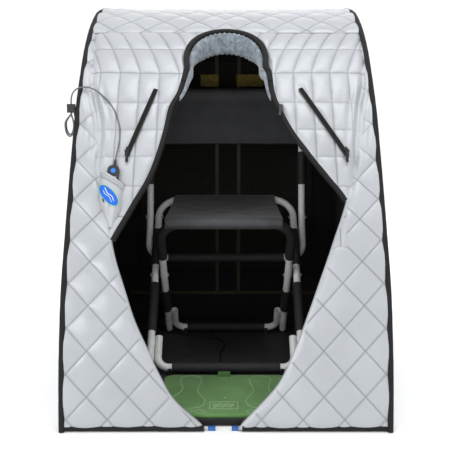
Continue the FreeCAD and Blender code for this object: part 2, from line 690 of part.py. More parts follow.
def bores(name, centre):
    """Two bores across the cabin, one for each side's bolt."""
    return [rod(name + "_" + word, "( bolt_dia ) / 2 + pin_play", "110", centre + Vector(side * 130, 0, 0),
                Vector(side, 0, 0)) for side, word in ((-1, "left"), (1, "right"))]


def rivets(label, centre, inner_x, outer_x):
    """A bolt at each side with a domed head outside and a nut inside."""
    made = []
    for side, word in ((-1, "left"), (1, "right")):
        out = Vector(side, 0, 0)
        parts = [
            rod(label + word + "_shank", "( bolt_dia ) / 2", str(outer_x - inner_x), centre + out * inner_x, out),
            rod(label + word + "_head", "bolt_dia", "2.6", centre + out * outer_x, out),
            rod(label + word + "_nut", "bolt_dia - 0.8", "3", centre + out * (inner_x - 3), out),
        ]
        whole = doc.addObject("Part::MultiFuse", label + word)
        whole.Shapes = parts
        made.append(whole)
    return group(label, made)


node(cut("front_leg_frame", front_legs, bores("front_cross_bore", CROSS) + bores("front_pivot_bore", PIVOT)),
     "front_leg_frame")
node(cut("rear_leg_frame", rear_legs, bores("rear_cross_bore", CROSS)), "rear_leg_frame")
node(front_base, "front_base_bar")
node(rear_base, "rear_base_bar")
rivets("cross_bolts", CROSS, REAR_X - TUBE / 2 - 0.4, FRONT_X + TUBE / 2 + 0.4)
rivets("backrest_bolts", PIVOT, FRONT_X - TUBE / 2 - 0.4, BACK_X + TUBE / 2 + 0.4)
washers = []
for name, centre, low_x, high_x in (("cross", CROSS, REAR_X + TUBE / 2, FRONT_X - TUBE / 2),
                                    ("pivot", PIVOT, FRONT_X + TUBE / 2, BACK_X - TUBE / 2)):
    for side, word in ((-1, "left"), (1, "right")):
        thick = high_x - low_x - 0.8
        washers.append(ring(name + word + "_washer", "7", "( bolt_dia ) / 2 + pin_play", str(thick),
                            centre + Vector(side * (low_x + 0.4), 0, 0), Vector(side, 0, 0)))
group("pivot_spacers", washers)

# the backrest loop: up both sides, across the top, and across below the pivot as a stop behind the legs
BACK_TOP = Vector(0, size("back_top_y"), size("back_top_z"))
BACK_LOW = Vector(0, size("back_low_y"), size("back_low_z"))
BACK_UP = (BACK_TOP - PIVOT).normalize()
BACK_DOWN = (BACK_LOW - PIVOT).normalize()
BEND = size("bend_radius")


def backrest_half(side, radius):
    """Half of the loop, from the middle of the top to the middle of the lower bar."""
    out = Vector(side * BACK_X, 0, 0)
    corners = [BACK_TOP, BACK_TOP + out, PIVOT + out, BACK_LOW + out, BACK_LOW]
    wire, _ = rounded_path([tuple(corner) for corner in corners], [BEND, 3 * TUBE, 2 * TUBE])
    return swept(wire, radius)


loop = [backrest_half(side, TUBE / 2).cut(backrest_half(side, TUBE / 2 - WALL)) for side in (-1, 1)]
loop_shape = loop[0].fuse(loop[1]).removeSplitter()
loop_part = doc.addObject("Part::Feature", "backrest_loop")
loop_part.Shape = loop_shape
node(cut("backrest_frame", loop_part, bores("backrest_bore", PIVOT)), "backrest_frame")


def sleeve(name, start, end):
    """A foam sleeve round a straight tube."""
    return ring(name, "foam_dia / 2", "tube_dia / 2 + 0.05", str((end - start).Length), start, end - start)


def leg_sleeves(name, base, leg, x, spans):
    made = []
    for side, word in ((-1, "left"), (1, "right")):
        for number, (low, high) in enumerate(spans):
            out = Vector(side * x, 0, 0)
            made.append(sleeve("%s_%s_%d" % (name, word, number), base + leg * low + out, base + leg * high + out))
    return made


def bar_sleeve(name, centre, half_long):
    return sleeve(name, centre - Vector(half_long, 0, 0), centre + Vector(half_long, 0, 0))


FRONT_BAR, REAR_BAR, BACK_BAR = 134.0, 112.0, 160.0
group("front_leg_foam", leg_sleeves("front_foam", FRONT_BASE, FRONT_LEG, FRONT_X, ((0.19, 0.46), (0.57, 0.79)))
      + [bar_sleeve("front_bar_foam", FRONT_BASE, FRONT_BAR)])
group("rear_leg_foam", leg_sleeves("rear_foam", REAR_BASE, REAR_LEG, REAR_X, ((0.2, 0.4), (0.72, 0.85)))
      + [bar_sleeve("rear_bar_foam", REAR_BASE, REAR_BAR)])
back_long = (BACK_TOP - PIVOT).Length
group("backrest_foam", leg_sleeves("back_foam", PIVOT, BACK_TOP - PIVOT, BACK_X, ((0.26, 0.52),))
      + [bar_sleeve("back_bar_foam", BACK_LOW, BACK_BAR)])


def feet(label, base, x):
    """Clip-on feet that hold a base bar clear of the floor."""
    made = []
    for side, word in ((-1, "left"), (1, "right")):
        spot = base + Vector(side * x, 0, 0)
        under = spot.z - FLOOR_TOP - GAP
        blank = block(label + word + "_blank", "8", "24", str(under), at(spot.x, spot.y, FLOOR_TOP + GAP + under / 2))
        channel = rod(label + word + "_channel", "tube_dia / 2 + 0.05", "12", spot - Vector(6, 0, 0), Vector(1, 0, 0))
        made.append(cut(label + word, blank, [channel]))
    return group(label, made)


feet("front_feet", FRONT_BASE, 139)
feet("rear_feet", REAR_BASE, 116.5)

seat_along = SEAT_REAR - SEAT_FRONT
seat_place = Placement((SEAT_REAR + SEAT_FRONT) / 2 + Vector(0, 0, 12.2),
                       Rotation(Vector(1, 0, 0), math.degrees(math.atan2(seat_along.z, seat_along.y))))
node(block("seat_slab", "264", "296", "4", seat_place), "seat_sling")
back_middle = PIVOT + BACK_UP * 292
back_front = Vector(0, -BACK_UP.z, BACK_UP.y)
back_place = Placement(back_middle + back_front * 13, Rotation(Vector(1, 0, 0), math.degrees(
    math.atan2(BACK_UP.z, BACK_UP.y))))
node(block("back_slab", "396", "150", "4", back_place), "backrest_sling")

# ---------------------------------------------------------------- checks and files

doc.recompute()
for item in doc.Objects:
    if {"Invalid", "Error"} & set(item.State):
        raise RuntimeError("%s failed to build" % item.Name)
os.makedirs("parts", exist_ok=True)
for made in NODES:
    if made.Shape.isNull() or not made.Shape.isValid() or not made.Shape.Solids:
        raise RuntimeError("%s has no valid solid" % made.Label)
    made.Shape.exportStep("parts/%s.step" % made.Label)
print(len(NODES), "sub-parts")
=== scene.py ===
"""Looks for the portable steam sauna: quilted cloth, bindings, zips, cords, pads and materials.

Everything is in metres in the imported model's own frame: X across, +Y to the back, +Z up. The cloth is
worked out on the cabin's side view, so a place on it is x across and s along the cloth from the hem.
"""

import json
import math

import bmesh
import bpy
import numpy as np
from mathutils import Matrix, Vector


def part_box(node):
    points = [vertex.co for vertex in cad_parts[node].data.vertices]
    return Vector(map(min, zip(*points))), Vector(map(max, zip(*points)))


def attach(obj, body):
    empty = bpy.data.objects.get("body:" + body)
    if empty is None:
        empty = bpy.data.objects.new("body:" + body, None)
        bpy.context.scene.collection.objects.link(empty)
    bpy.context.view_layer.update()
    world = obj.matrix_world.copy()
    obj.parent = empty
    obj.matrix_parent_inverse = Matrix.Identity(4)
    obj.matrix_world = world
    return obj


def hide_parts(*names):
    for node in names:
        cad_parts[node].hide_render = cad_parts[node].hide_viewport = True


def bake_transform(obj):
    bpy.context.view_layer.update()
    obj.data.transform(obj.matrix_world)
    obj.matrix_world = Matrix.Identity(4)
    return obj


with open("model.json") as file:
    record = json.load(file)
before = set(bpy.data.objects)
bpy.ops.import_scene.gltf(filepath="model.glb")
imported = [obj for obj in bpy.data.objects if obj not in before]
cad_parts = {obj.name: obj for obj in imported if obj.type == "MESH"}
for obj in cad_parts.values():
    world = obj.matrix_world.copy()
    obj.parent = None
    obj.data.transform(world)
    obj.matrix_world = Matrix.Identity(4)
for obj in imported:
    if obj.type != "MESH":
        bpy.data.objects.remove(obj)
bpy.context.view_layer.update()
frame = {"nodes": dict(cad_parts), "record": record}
nodes = frame["nodes"]

# ---------------------------------------------------------------- the cabin's side view

CLOTH = 0.013
SIDES = ((-1, "left"), (1, "right"))
# (y, z) of the front and roof sheet, seen from the side
SIDE_VIEW = [(-0.400, 0.0), (-0.362, 0.196), (-0.229, 0.474), (-0.085, 0.692), (0.076, 0.842), (0.230, 0.913),
             (0.400, 0.938)]


def spline(points):
    """A natural cubic spline through points; returns the function of length along them and its end."""
    points = np.array(points, float)
    step = np.linalg.norm(np.diff(points, axis=0), axis=1)
    knots = np.concatenate([[0.0], np.cumsum(step)])
    count = len(points)
    matrix, right = np.eye(count), np.zeros_like(points)
    for i in range(1, count - 1):
        matrix[i, i - 1:i + 2] = step[i - 1], 2 * (step[i - 1] + step[i]), step[i]
        right[i] = 6 * ((points[i + 1] - points[i]) / step[i] - (points[i] - points[i - 1]) / step[i - 1])
    bend = np.linalg.solve(matrix, right)

    def value(k):
        k = np.clip(np.asarray(k, float), 0, knots[-1])
        i = np.clip(np.searchsorted(knots, k, side="right") - 1, 0, count - 2)
        wide = step[i][..., None]
        a = (knots[i + 1] - k)[..., None] / wide
        b = 1 - a
        curved = ((a**3 - a) * bend[i] + (b**3 - b) * bend[i + 1]) * wide**2 / 6
        return a * points[i] + b * points[i + 1] + curved

    return value, knots[-1]


side_value, side_end = spline(SIDE_VIEW)
SIDE = side_value(np.linspace(0, side_end, 3000))
SIDE_S = np.concatenate([[0.0], np.cumsum(np.linalg.norm(np.diff(SIDE, axis=0), axis=1))])
SIDE_LENGTH = SIDE_S[-1]
SLOPE = np.gradient(SIDE, SIDE_S, axis=0)
SLOPE /= np.linalg.norm(SLOPE, axis=1)[:, None]


def s_at_z(z):
    """Length along the cloth from the hem to a height."""
    return np.interp(z, SIDE[:, 1], SIDE_S)


def s_at_y(y):
    """Length along the cloth from the hem to a depth."""
    return np.interp(y, SIDE[:, 0], SIDE_S)


def cloth_line(s):
    """(y, z) and the outward (y, z) at lengths along the cloth."""
    s = np.asarray(s, float)
    y, z = np.interp(s, SIDE_S, SIDE[:, 0]), np.interp(s, SIDE_S, SIDE[:, 1])
    return y, z, -np.interp(s, SIDE_S, SLOPE[:, 1]), np.interp(s, SIDE_S, SLOPE[:, 0])


def cloth_out(s):
    """The outward directions of the front and roof sheet at lengths along it."""
    _, _, out_y, out_z = cloth_line(s)
    return np.stack([0 * s, out_y, out_z], axis=-1)


def on_cloth(x, s, lift):
    """Points on the front and roof sheet, lifted off it."""
    y, z, out_y, out_z = cloth_line(s)
    x, lift = np.broadcast_to(x, np.shape(y)).astype(float), np.broadcast_to(lift, np.shape(y))
    return np.stack([x, y + out_y * lift, z + out_z * lift], axis=-1)


# ---------------------------------------------------------------- helpers


def smoothstep(value, low, high):
    """Rises smoothly from 0 at low to 1 at high."""
    t = np.clip((value - low) / (high - low), 0, 1)
    return t * t * (3 - 2 * t)


def build(name, points, faces, materials, face_slots=None):
    """A smooth mesh object from points and faces, with its normals turned outwards."""
    mesh = bpy.data.meshes.new(name)
    mesh.from_pydata([tuple(p) for p in np.asarray(points).reshape(-1, 3).tolist()], [], faces)
    for material in materials:
        mesh.materials.append(material)
    if face_slots is not None:
        mesh.polygons.foreach_set("material_index", np.asarray(face_slots, np.int32))
    mesh.polygons.foreach_set("use_smooth", np.ones(len(mesh.polygons), bool))
    work = bmesh.new()
    work.from_mesh(mesh)
    bmesh.ops.recalc_face_normals(work, faces=work.faces)
    work.to_mesh(mesh)
    work.free()
    piece = bpy.data.objects.new(name, mesh)
    bpy.context.scene.collection.objects.link(piece)
    return piece


def place(piece, body, slot, *replaced):
    """Rides a piece on a body and hides the nodes that it stands for; slot is not used."""
    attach(piece, body)
    if replaced:
        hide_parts(*replaced)
    return piece


def bent(piece, replaced, start, end):
    """A soft piece with its place baked into its points and the nodes that it stands for hidden; it is not
    bent, end is not used, and start has no effect.
    """
    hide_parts(*replaced)
    tuple(start)
    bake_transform(piece)
    return piece


def capped(rings, around):
    """The faces of a tube through rings of points, with both ends closed."""
    faces = []
    for i in range(rings - 1):
        for j in range(around):
            k = (j + 1) % around
            faces.append((i * around + j, i * around + k, (i + 1) * around + k, (i + 1) * around + j))
    return faces + [tuple(range(around)), tuple(range((rings - 1) * around, rings * around))[::-1]]


def rounded_section(wide, thick, power=3.0, count=16):
    """A closed section, between an ellipse at power 2 and a box."""
    angle = np.linspace(0, 2 * math.pi, count, endpoint=False)
    c, s = np.cos(angle), np.sin(angle)
    return np.stack([np.sign(c) * np.abs(c) ** (2 / power) * wide / 2,
                     np.sign(s) * np.abs(s) ** (2 / power) * thick / 2], axis=1)


def sweep(path, across, outward, section):
    """Rings of a section carried along a path; section may differ along it."""
    path, across, outward = (np.asarray(a, float) for a in (path, across, outward))
    across = np.broadcast_to(across, path.shape)
    outward = np.broadcast_to(outward, path.shape)
    section = np.broadcast_to(section, (len(path),) + np.shape(section)[-2:])
    return path[:, None] + across[:, None] * section[..., :1] + outward[:, None] * section[..., 1:]


def closed(rings):
    """Rings of points as a closed mesh, (points, faces)."""
    return rings, capped(*rings.shape[:2])


def unit(vectors):
    vectors = np.asarray(vectors, float)
    return vectors / np.linalg.norm(vectors, axis=-1, keepdims=True)


def along_path(path):
    return unit(np.gradient(np.asarray(path, float), axis=0))


def run_lengths(points):
    """Length from the first point to each point of a line."""
    return np.concatenate([[0.0], np.cumsum(np.linalg.norm(np.diff(points, axis=0), axis=1))])


def joined(name, parts, material):
    """Closed meshes, each as (points, faces), as one piece in one material."""
    points, faces, base = [], [], 0
    for part_points, part_faces in parts:
        part_points = np.asarray(part_points).reshape(-1, 3)
        points.append(part_points)
        faces += [tuple(index + base for index in face) for face in part_faces]
        base += len(part_points)
    return build(name, np.concatenate(points), faces, [MATERIALS[material]])


def ripple(x, s, waves):
    """A smooth uneven field: a few crossed waves, each as (cycles per metre in x, in s, phase)."""
    total = 0
    for along_x, along_s, phase in waves:
        total = total + np.sin(2 * math.pi * (along_x * x + along_s * s) + phase)
    return total / len(waves)


SAG = [(2.3, 1.1, 0.4), (-1.7, 2.9, 1.9), (4.1, -1.3, 3.1), (0.9, 4.7, 5.2)]
CRINKLE = [(17, 9, 0.3), (-13, 21, 1.1), (29, -7, 2.2), (9, 31, 4.0), (-23, -19, 5.3)]

# ---------------------------------------------------------------- materials


def new_material(name, colour, rough, metallic=0.0):
    """A material with its shader, ready for more nodes."""
    material = bpy.data.materials.new(name)
    material.use_nodes = True
    shader = material.node_tree.nodes["Principled BSDF"]
    shader.inputs["Base Color"].default_value = (*colour, 1)
    shader.inputs["Roughness"].default_value = rough
    shader.inputs["Metallic"].default_value = metallic
    return material, material.node_tree, shader


def texture(tree, kind, scale, **sockets):
    """A procedural texture in object coordinates."""
    coords = tree.nodes.new("ShaderNodeTexCoord")
    made = tree.nodes.new(kind)
    tree.links.new(coords.outputs["Object"], made.inputs["Vector"])
    made.inputs["Scale"].default_value = scale
    for key, value in sockets.items():
        made.inputs[key].default_value = value
    return made


def ramp(tree, source, stops):
    made = tree.nodes.new("ShaderNodeValToRGB")
    tree.links.new(source, made.inputs["Fac"])
    while len(made.color_ramp.elements) < len(stops):
        made.color_ramp.elements.new(0.5)
    for element, (position, colour) in zip(made.color_ramp.elements, stops):
        element.position = position
        element.color = (*colour, 1)
    return made.outputs["Color"]


def tones(tree, noise, colour, dark, light):
    """A colour that varies with a noise between two factors of itself."""
    low, high = (tuple(min(1.0, channel * factor) for channel in colour) for factor in (dark, light))
    return ramp(tree, noise.outputs["Fac"], [(0.3, low), (0.7, high)])


def bumps(tree, shader, layers):
    """Bump nodes one on another; each layer is (height socket, strength, distance)."""
    normal = None
    for height, strength, distance in layers:
        bump = tree.nodes.new("ShaderNodeBump")
        bump.inputs["Strength"].default_value = strength
        bump.inputs["Distance"].default_value = distance
        tree.links.new(height, bump.inputs["Height"])
        if normal is not None:
            tree.links.new(normal, bump.inputs["Normal"])
        normal = bump.outputs["Normal"]
    tree.links.new(normal, shader.inputs["Normal"])


ROUGH_SPREAD = 0.08


def mottled(name, colour, rough, spread=0.12, scale=30.0, grain=700.0, grain_depth=0.0004, metallic=0.0):
    """A material with soft colour and roughness variation and a fine surface grain."""
    material, tree, shader = new_material(name, colour, rough, metallic)
    broad = texture(tree, "ShaderNodeTexNoise", scale, Detail=4.0)
    tree.links.new(tones(tree, broad, colour, 1 - spread, 1 + spread), shader.inputs["Base Color"])
    low, high = max(0.02, rough - ROUGH_SPREAD), min(1, rough + ROUGH_SPREAD)
    roughness = ramp(tree, broad.outputs["Fac"], [(0.3, (low,) * 3), (0.7, (high,) * 3)])
    tree.links.new(roughness, shader.inputs["Roughness"])
    fine = texture(tree, "ShaderNodeTexNoise", grain, Detail=2.0)
    bumps(tree, shader, [(fine.outputs["Fac"], 0.6, grain_depth)])
    return material


WEAVE_SPREAD = 0.2


def woven(name, colour, rough, thread=0.0012, depth=0.0004, sheen=0.0):
    """Cloth with crossed threads."""
    material, tree, shader = new_material(name, colour, rough)
    shader.inputs["Sheen Weight"].default_value = sheen
    broad = texture(tree, "ShaderNodeTexNoise", 24.0, Detail=5.0)
    tree.links.new(tones(tree, broad, colour, 1 - WEAVE_SPREAD, 1 + WEAVE_SPREAD), shader.inputs["Base Color"])
    layers = []
    for direction in ("X", "Z"):
        threads = texture(tree, "ShaderNodeTexWave", 1 / thread / math.pi / 2, Distortion=0.6)
        threads.bands_direction = direction
        layers.append((threads.outputs["Fac"], 0.5, depth))
    bumps(tree, shader, layers)
    return material


def silver_cloth():
    """Coated silver cloth: painted shade darkens the sewn grooves, the coating crinkles, and dust dulls it
    unevenly.
    """
    colour = (0.43, 0.45, 0.475)
    material, tree, shader = new_material("silver_cloth", colour, 0.4, 0.28)
    shader.inputs["Sheen Weight"].default_value = 0.15
    broad = texture(tree, "ShaderNodeTexNoise", 7.0, Detail=5.0)
    shade = tones(tree, broad, colour, 0.94, 1.06)
    # Painted shade: the colour is mixed towards a dark grey along the sewn grooves, by the stored share.
    seam = tree.nodes.new("ShaderNodeAttribute")
    seam.attribute_name = "seam"
    mix = tree.nodes.new("ShaderNodeMix")
    mix.data_type = "RGBA"
    mix.inputs["B"].default_value = (0.15, 0.16, 0.18, 1)
    tree.links.new(shade, mix.inputs["A"])
    tree.links.new(seam.outputs["Fac"], mix.inputs["Factor"])
    tree.links.new(mix.outputs["Result"], shader.inputs["Base Color"])
    roughness = ramp(tree, broad.outputs["Fac"], [(0.3, (0.36,) * 3), (0.7, (0.5,) * 3)])
    tree.links.new(roughness, shader.inputs["Roughness"])
    crinkle = texture(tree, "ShaderNodeTexNoise", 55.0, Detail=6.0, Distortion=0.8)
    weave = texture(tree, "ShaderNodeTexNoise", 1400.0, Detail=1.0)
    bumps(tree, shader, [(crinkle.outputs["Fac"], 0.35, 0.0016), (weave.outputs["Fac"], 0.3, 0.0002)])
    return material


def fleece():
    """Short blue-grey pile, mottled lighter and darker."""
    material, tree, shader = new_material("collar_fleece", (0.2, 0.24, 0.28), 0.95)
    shader.inputs["Sheen Weight"].default_value = 0.6
    shader.inputs["Sheen Roughness"].default_value = 0.5
    patches = texture(tree, "ShaderNodeTexNoise", 60.0, Detail=8.0, Roughness=0.7, Distortion=0.6)
    stops = [(0.34, (0.09, 0.11, 0.13)), (0.52, (0.2, 0.24, 0.28)), (0.7, (0.36, 0.41, 0.46))]
    tree.links.new(ramp(tree, patches.outputs["Fac"], stops), shader.inputs["Base Color"])
    pile = texture(tree, "ShaderNodeTexNoise", 420.0, Detail=4.0)
    bumps(tree, shader, [(patches.outputs["Fac"], 0.6, 0.004), (pile.outputs["Fac"], 0.9, 0.0015)])
    return material


def felt():
    """Green printed felt with fine fibres."""
    colour = (0.115, 0.26, 0.075)
    material, tree, shader = new_material("green_pad", colour, 0.82)
    shader.inputs["Sheen Weight"].default_value = 0.2
    broad = texture(tree, "ShaderNodeTexNoise", 16.0, Detail=6.0)
    tree.links.new(tones(tree, broad, colour, 0.82, 1.15), shader.inputs["Base Color"])
    fibres = texture(tree, "ShaderNodeTexNoise", 900.0, Detail=3.0, Distortion=1.5)
    bumps(tree, shader, [(fibres.outputs["Fac"], 0.5, 0.0006)])
    return material


def mesh_cloth():
    """Black open mesh over a dull golden foil, which shows through as small cells."""
    material, tree, shader = new_material("heater_cloth", (0.006, 0.006, 0.007), 0.9)
    cells = texture(tree, "ShaderNodeTexVoronoi", 160.0, Randomness=0.15)
    stops = [(0.1, (0.05, 0.042, 0.012)), (0.35, (0.005, 0.005, 0.006))]
    tree.links.new(ramp(tree, cells.outputs["Distance"], stops), shader.inputs["Base Color"])
    bumps(tree, shader, [(cells.outputs["Distance"], 0.5, 0.001)])
    return material


MATERIALS = {
    "silver_cloth": silver_cloth(),
    "lining": woven("lining", (0.006, 0.006, 0.007), 0.9, thread=0.0016),
    "black_binding": woven("black_binding", (0.0035, 0.0035, 0.004), 0.85, thread=0.0014, depth=0.0006),
    "collar_fleece": fleece(),
    "zip_tape": woven("zip_tape", (0.0035, 0.0035, 0.004), 0.85, thread=0.001),
    "zip_metal": mottled("zip_metal", (0.02, 0.02, 0.022), 0.32, metallic=0.6, grain_depth=0.0001),
    "blue_tab": woven("blue_tab", (0.03, 0.13, 0.42), 0.6),
    "floor_cloth": woven("floor_cloth", (0.035, 0.036, 0.038), 0.55, thread=0.002),
    "badge_blue": mottled("badge_blue", (0.0, 0.115, 0.62), 0.3, spread=0.05, grain_depth=0.0001),
    "badge_pale": mottled("badge_pale", (0.72, 0.78, 0.82), 0.4, spread=0.05, grain_depth=0.0001),
    "badge_green": mottled("badge_green", (0.2, 0.55, 0.18), 0.4, spread=0.05, grain_depth=0.0001),
    "black_plastic": mottled("black_plastic", (0.015, 0.015, 0.016), 0.45),
    "remote_window": mottled("remote_window", (0.01, 0.012, 0.016), 0.12, grain_depth=0.00005),
    "button_blue": mottled("button_blue", (0.02, 0.2, 0.72), 0.25, spread=0.06, grain_depth=0.0001),
    "button_grey": mottled("button_grey", (0.35, 0.35, 0.37), 0.5),
    "grey_cord": mottled("grey_cord", (0.12, 0.125, 0.135), 0.42, grain_depth=0.0002),
    "black_cord": mottled("black_cord", (0.012, 0.012, 0.013), 0.5, grain_depth=0.0002),
    "green_pad": felt(),
    "green_plastic": mottled("green_plastic", (0.09, 0.2, 0.06), 0.55),
    "pad_print": mottled("pad_print", (0.36, 0.52, 0.3), 0.8, spread=0.1),
    "heater_cloth": mesh_cloth(),
    "heater_strip": mottled("heater_strip", (0.035, 0.03, 0.008), 0.5, spread=0.3, scale=60, metallic=0.2),
    "heater_foil": mottled("heater_foil", (0.30, 0.22, 0.03), 0.6, spread=0.5, scale=140, metallic=0.1),
    "white_tube": mottled("white_tube", (0.92, 0.93, 0.93), 0.3, spread=0.03, grain_depth=0.00008),
    "black_foam": mottled("black_foam", (0.022, 0.022, 0.024), 0.7, scale=60, grain=420, grain_depth=0.001),
    "bolt_steel": mottled("bolt_steel", (0.55, 0.55, 0.57), 0.3, metallic=1.0, grain_depth=0.0001),
    "chair_cloth": woven("chair_cloth", (0.046, 0.048, 0.054), 0.5, thread=0.0022, depth=0.0005, sheen=0.2),
}

for part in frame["record"]["subparts"]:
    shown = nodes[part["node"]]
    shown.data.materials.clear()
    shown.data.materials.append(MATERIALS[part["material_slot"]])

# ---------------------------------------------------------------- quilting on the front and roof sheet

# the puff's height, and how strongly painted shade darkens the sewn grooves
PUFF, SEAM_SHADE = 0.0056, 0.8
ARM_ZIPS = {"left": [(-0.165, 0.704), (-0.222, 0.561)], "right": [(0.175, 0.706), (0.271, 0.561)]}
DIAMOND_X, DIAMOND_S = 0.087, 0.095
DIAMOND_A, DIAMOND_B = 0.125, 0.577
# heights of the sewn rows on the upper flaps, and each side's first sewn column and their pitch
ROW_S = s_at_z([0.370, 0.432, 0.495, 0.557, 0.615, 0.677, 0.746, 0.805, 0.850])
COLUMNS = {-1: (0.159, 0.047), 1: (0.161, 0.0435)}
# where the upper flaps turn into the side folds, as (z, distance from the middle)
CREASE = {
    -1: [(0.376, 0.245), (0.396, 0.251), (0.466, 0.271), (0.539, 0.290), (0.638, 0.298), (0.725, 0.318),
         (0.850, 0.332)],
    1: [(0.436, 0.262), (0.490, 0.276), (0.550, 0.296), (0.610, 0.309), (0.677, 0.316), (0.745, 0.330),
        (0.850, 0.345)],
}
JOIN_S = float(ROW_S[-1])


def crease_at(side, s):
    z, across = np.array(CREASE[side]).T
    return np.interp(s, s_at_z(z), across)


def seam_share(distance):
    return np.exp(-(distance / 0.0013) ** 2)


def ridge(phase):
    """How far a phase is from a whole number, 0 to 0.5."""
    return np.abs(phase - np.round(phase))


def cushion(first, second):
    """Height share of a padded cell between sewn lines at whole numbers of two phases."""
    return (np.abs(np.sin(math.pi * first)) * np.abs(np.sin(math.pi * second))) ** 0.42


def diamonds(across, s):
    """Height share and seam share of the diamond quilting."""
    first = across / DIAMOND_X + s / DIAMOND_S - DIAMOND_A
    second = across / DIAMOND_X - s / DIAMOND_S - DIAMOND_B
    pitch = 1 / math.hypot(1 / DIAMOND_X, 1 / DIAMOND_S)
    return cushion(first, second), seam_share(np.minimum(ridge(first), ridge(second)) * pitch)


def squares(side, across, s):
    """Height share and seam share of the upper flaps' rows and columns, which fan out over the shoulder."""
    start, pitch = COLUMNS[side]
    past = np.clip(s - ROW_S[6], 0, None)
    column = (across - start - 0.23 * past - 0.88 * past**2) / pitch
    row = np.interp(s, ROW_S, np.arange(len(ROW_S)))
    row_pitch = np.gradient(ROW_S)[np.clip(row.astype(int), 0, len(ROW_S) - 1)]
    return cushion(column, row), seam_share(np.minimum(ridge(column) * pitch, ridge(row) * row_pitch))


def quilting(side, across, s):
    """Lift off the sheet and share of painted shade in the sewn grooves at places on one half of it."""
    crease = crease_at(side, s)
    outside = smoothstep(across - crease, -0.004, 0.004)
    low_part = 1 - smoothstep(s, ROW_S[0] - 0.002, ROW_S[0] + 0.002)
    roof_part = (s > JOIN_S).astype(float)
    share = np.maximum(np.maximum(outside, low_part), roof_part)
    plain_high, plain_seam = diamonds(across, s)
    square_high, square_seam = squares(side, across, s)
    lift = PUFF * (plain_high * share + square_high * (1 - share))
    seam = plain_seam * share + square_seam * (1 - share)
    upper = smoothstep(s, ROW_S[2], ROW_S[4]) * (1 - smoothstep(s, ROW_S[5], ROW_S[6]))
    fold = np.exp(-((across - crease) / 0.009) ** 2) * smoothstep(s, ROW_S[1], ROW_S[2])
    pucker = np.exp(-((across - crease + 0.006) / 0.024) ** 2) * upper
    lift = lift * (1 - 0.75 * pucker) - 0.0045 * fold * (1 - roof_part)
    lift = lift + 0.0032 * pucker * np.sin(2 * math.pi * (across - crease) / 0.023 + 1.2 * np.sin(s * 21))
    seam = seam * (1 - 0.8 * pucker)
    lift = lift + 0.0022 * ripple(side * across, s, SAG) + 0.0004 * ripple(side * across, s, CRINKLE)
    (top_x, top_z), (low_x, low_z) = ARM_ZIPS["left" if side < 0 else "right"]
    z = np.interp(s, SIDE_S, SIDE[:, 1])
    zip_x = np.interp(z, [low_z, top_z], [abs(low_x), abs(top_x)])
    beside = np.exp(-((across - zip_x) / 0.013) ** 4) * smoothstep(z, low_z - 0.02, low_z) * (
        1 - smoothstep(z, top_z, top_z + 0.02))
    lift = lift * (1 - beside) + np.minimum(lift, 0.003) * beside
    return lift, seam * SEAM_SHADE


# ---------------------------------------------------------------- the open front's edges and the neck hole

# half width and half depth of the neck hole
NECK_WIDE, NECK_DEEP = 0.098, 0.092
# distance of each flap's free edge from the middle, as (z, distance), below and above its corner
EDGES = {
    -1: ([(-0.02, 0.034), (0.006, 0.044), (0.028, 0.066), (0.042, 0.083), (0.062, 0.104), (0.081, 0.119),
          (0.103, 0.131), (0.134, 0.147), (0.166, 0.162), (0.200, 0.179), (0.230, 0.193), (0.270, 0.208),
          (0.308, 0.222), (0.340, 0.234), (0.362, 0.241), (0.383, 0.2465)],
         [(0.383, 0.2465), (0.406, 0.234), (0.426, 0.222), (0.466, 0.199), (0.508, 0.174), (0.550, 0.157),
          (0.593, 0.144), (0.638, 0.134), (0.672, 0.126), (0.697, 0.112), (0.730, 0.102), (0.764, 0.094)]),
    1: ([(-0.02, 0.016), (0.011, 0.029), (0.025, 0.041), (0.045, 0.061), (0.070, 0.085), (0.097, 0.108),
         (0.127, 0.125), (0.160, 0.140), (0.195, 0.155), (0.228, 0.168), (0.267, 0.184), (0.304, 0.199),
         (0.347, 0.217), (0.396, 0.237), (0.436, 0.254), (0.464, 0.2645)],
        [(0.464, 0.2645), (0.487, 0.249), (0.508, 0.231), (0.529, 0.214), (0.550, 0.197), (0.575, 0.178),
         (0.600, 0.159), (0.640, 0.135), (0.667, 0.122), (0.692, 0.112), (0.735, 0.106), (0.779, 0.101)]),
}


def edge_line(side):
    """(s, distance) of a free edge, closely spaced, with its corner kept sharp."""
    parts = []
    for points in EDGES[side]:
        value, end = spline(points)
        parts.append(value(np.linspace(0, end, 200)))
    line = np.concatenate([parts[0], parts[1][1:]])
    order = np.argsort(line[:, 0], kind="stable")
    return s_at_z(line[order, 0]), line[order, 1]


EDGE_LINES = {side: edge_line(side) for side in (-1, 1)}


def opening_at(side, s):
    """Distance from the middle to the front opening or the neck hole."""
    edge = np.interp(s, *EDGE_LINES[side])
    edge = np.where(s > EDGE_LINES[side][0][-1], 0.0, edge)
    y = np.interp(s, SIDE_S, SIDE[:, 0])
    neck = NECK_WIDE * np.sqrt(np.clip(1 - (y / NECK_DEEP) ** 2, 0, None))
    return np.maximum(edge, neck)


ROLL = CLOTH / 2  # radius of the cloth's turned free edge
OUTER = 0.3395  # half width of the front and roof sheet


def store_seam_shade(piece, shares):
    """Keeps how much each point is on a sewn line, for the painted shade that the cloth's material puts in the
    sewn grooves.
    """
    attribute = piece.data.attributes.new("seam", "FLOAT", "POINT")
    attribute.data.foreach_set("value", np.asarray(shares, np.float32).ravel())


def quilted(name, outer, inner, seam, silver=None):
    """A closed layer of silver and black cloth; the first columns, as many as silver says, are silver."""
    rings = np.concatenate([outer, inner], axis=1)
    rows, around = rings.shape[:2]
    lined = np.arange(around) >= (outer.shape[1] if silver is None else silver)
    slots = np.concatenate([np.tile(lined, rows - 1), [False, False]])
    piece = build(name, rings, capped(rows, around), [MATERIALS["silver_cloth"], MATERIALS["lining"]], slots)
    shares = np.zeros((rows, around))
    shares[:, :seam.shape[1]] = seam
    store_seam_shade(piece, shares)
    return piece


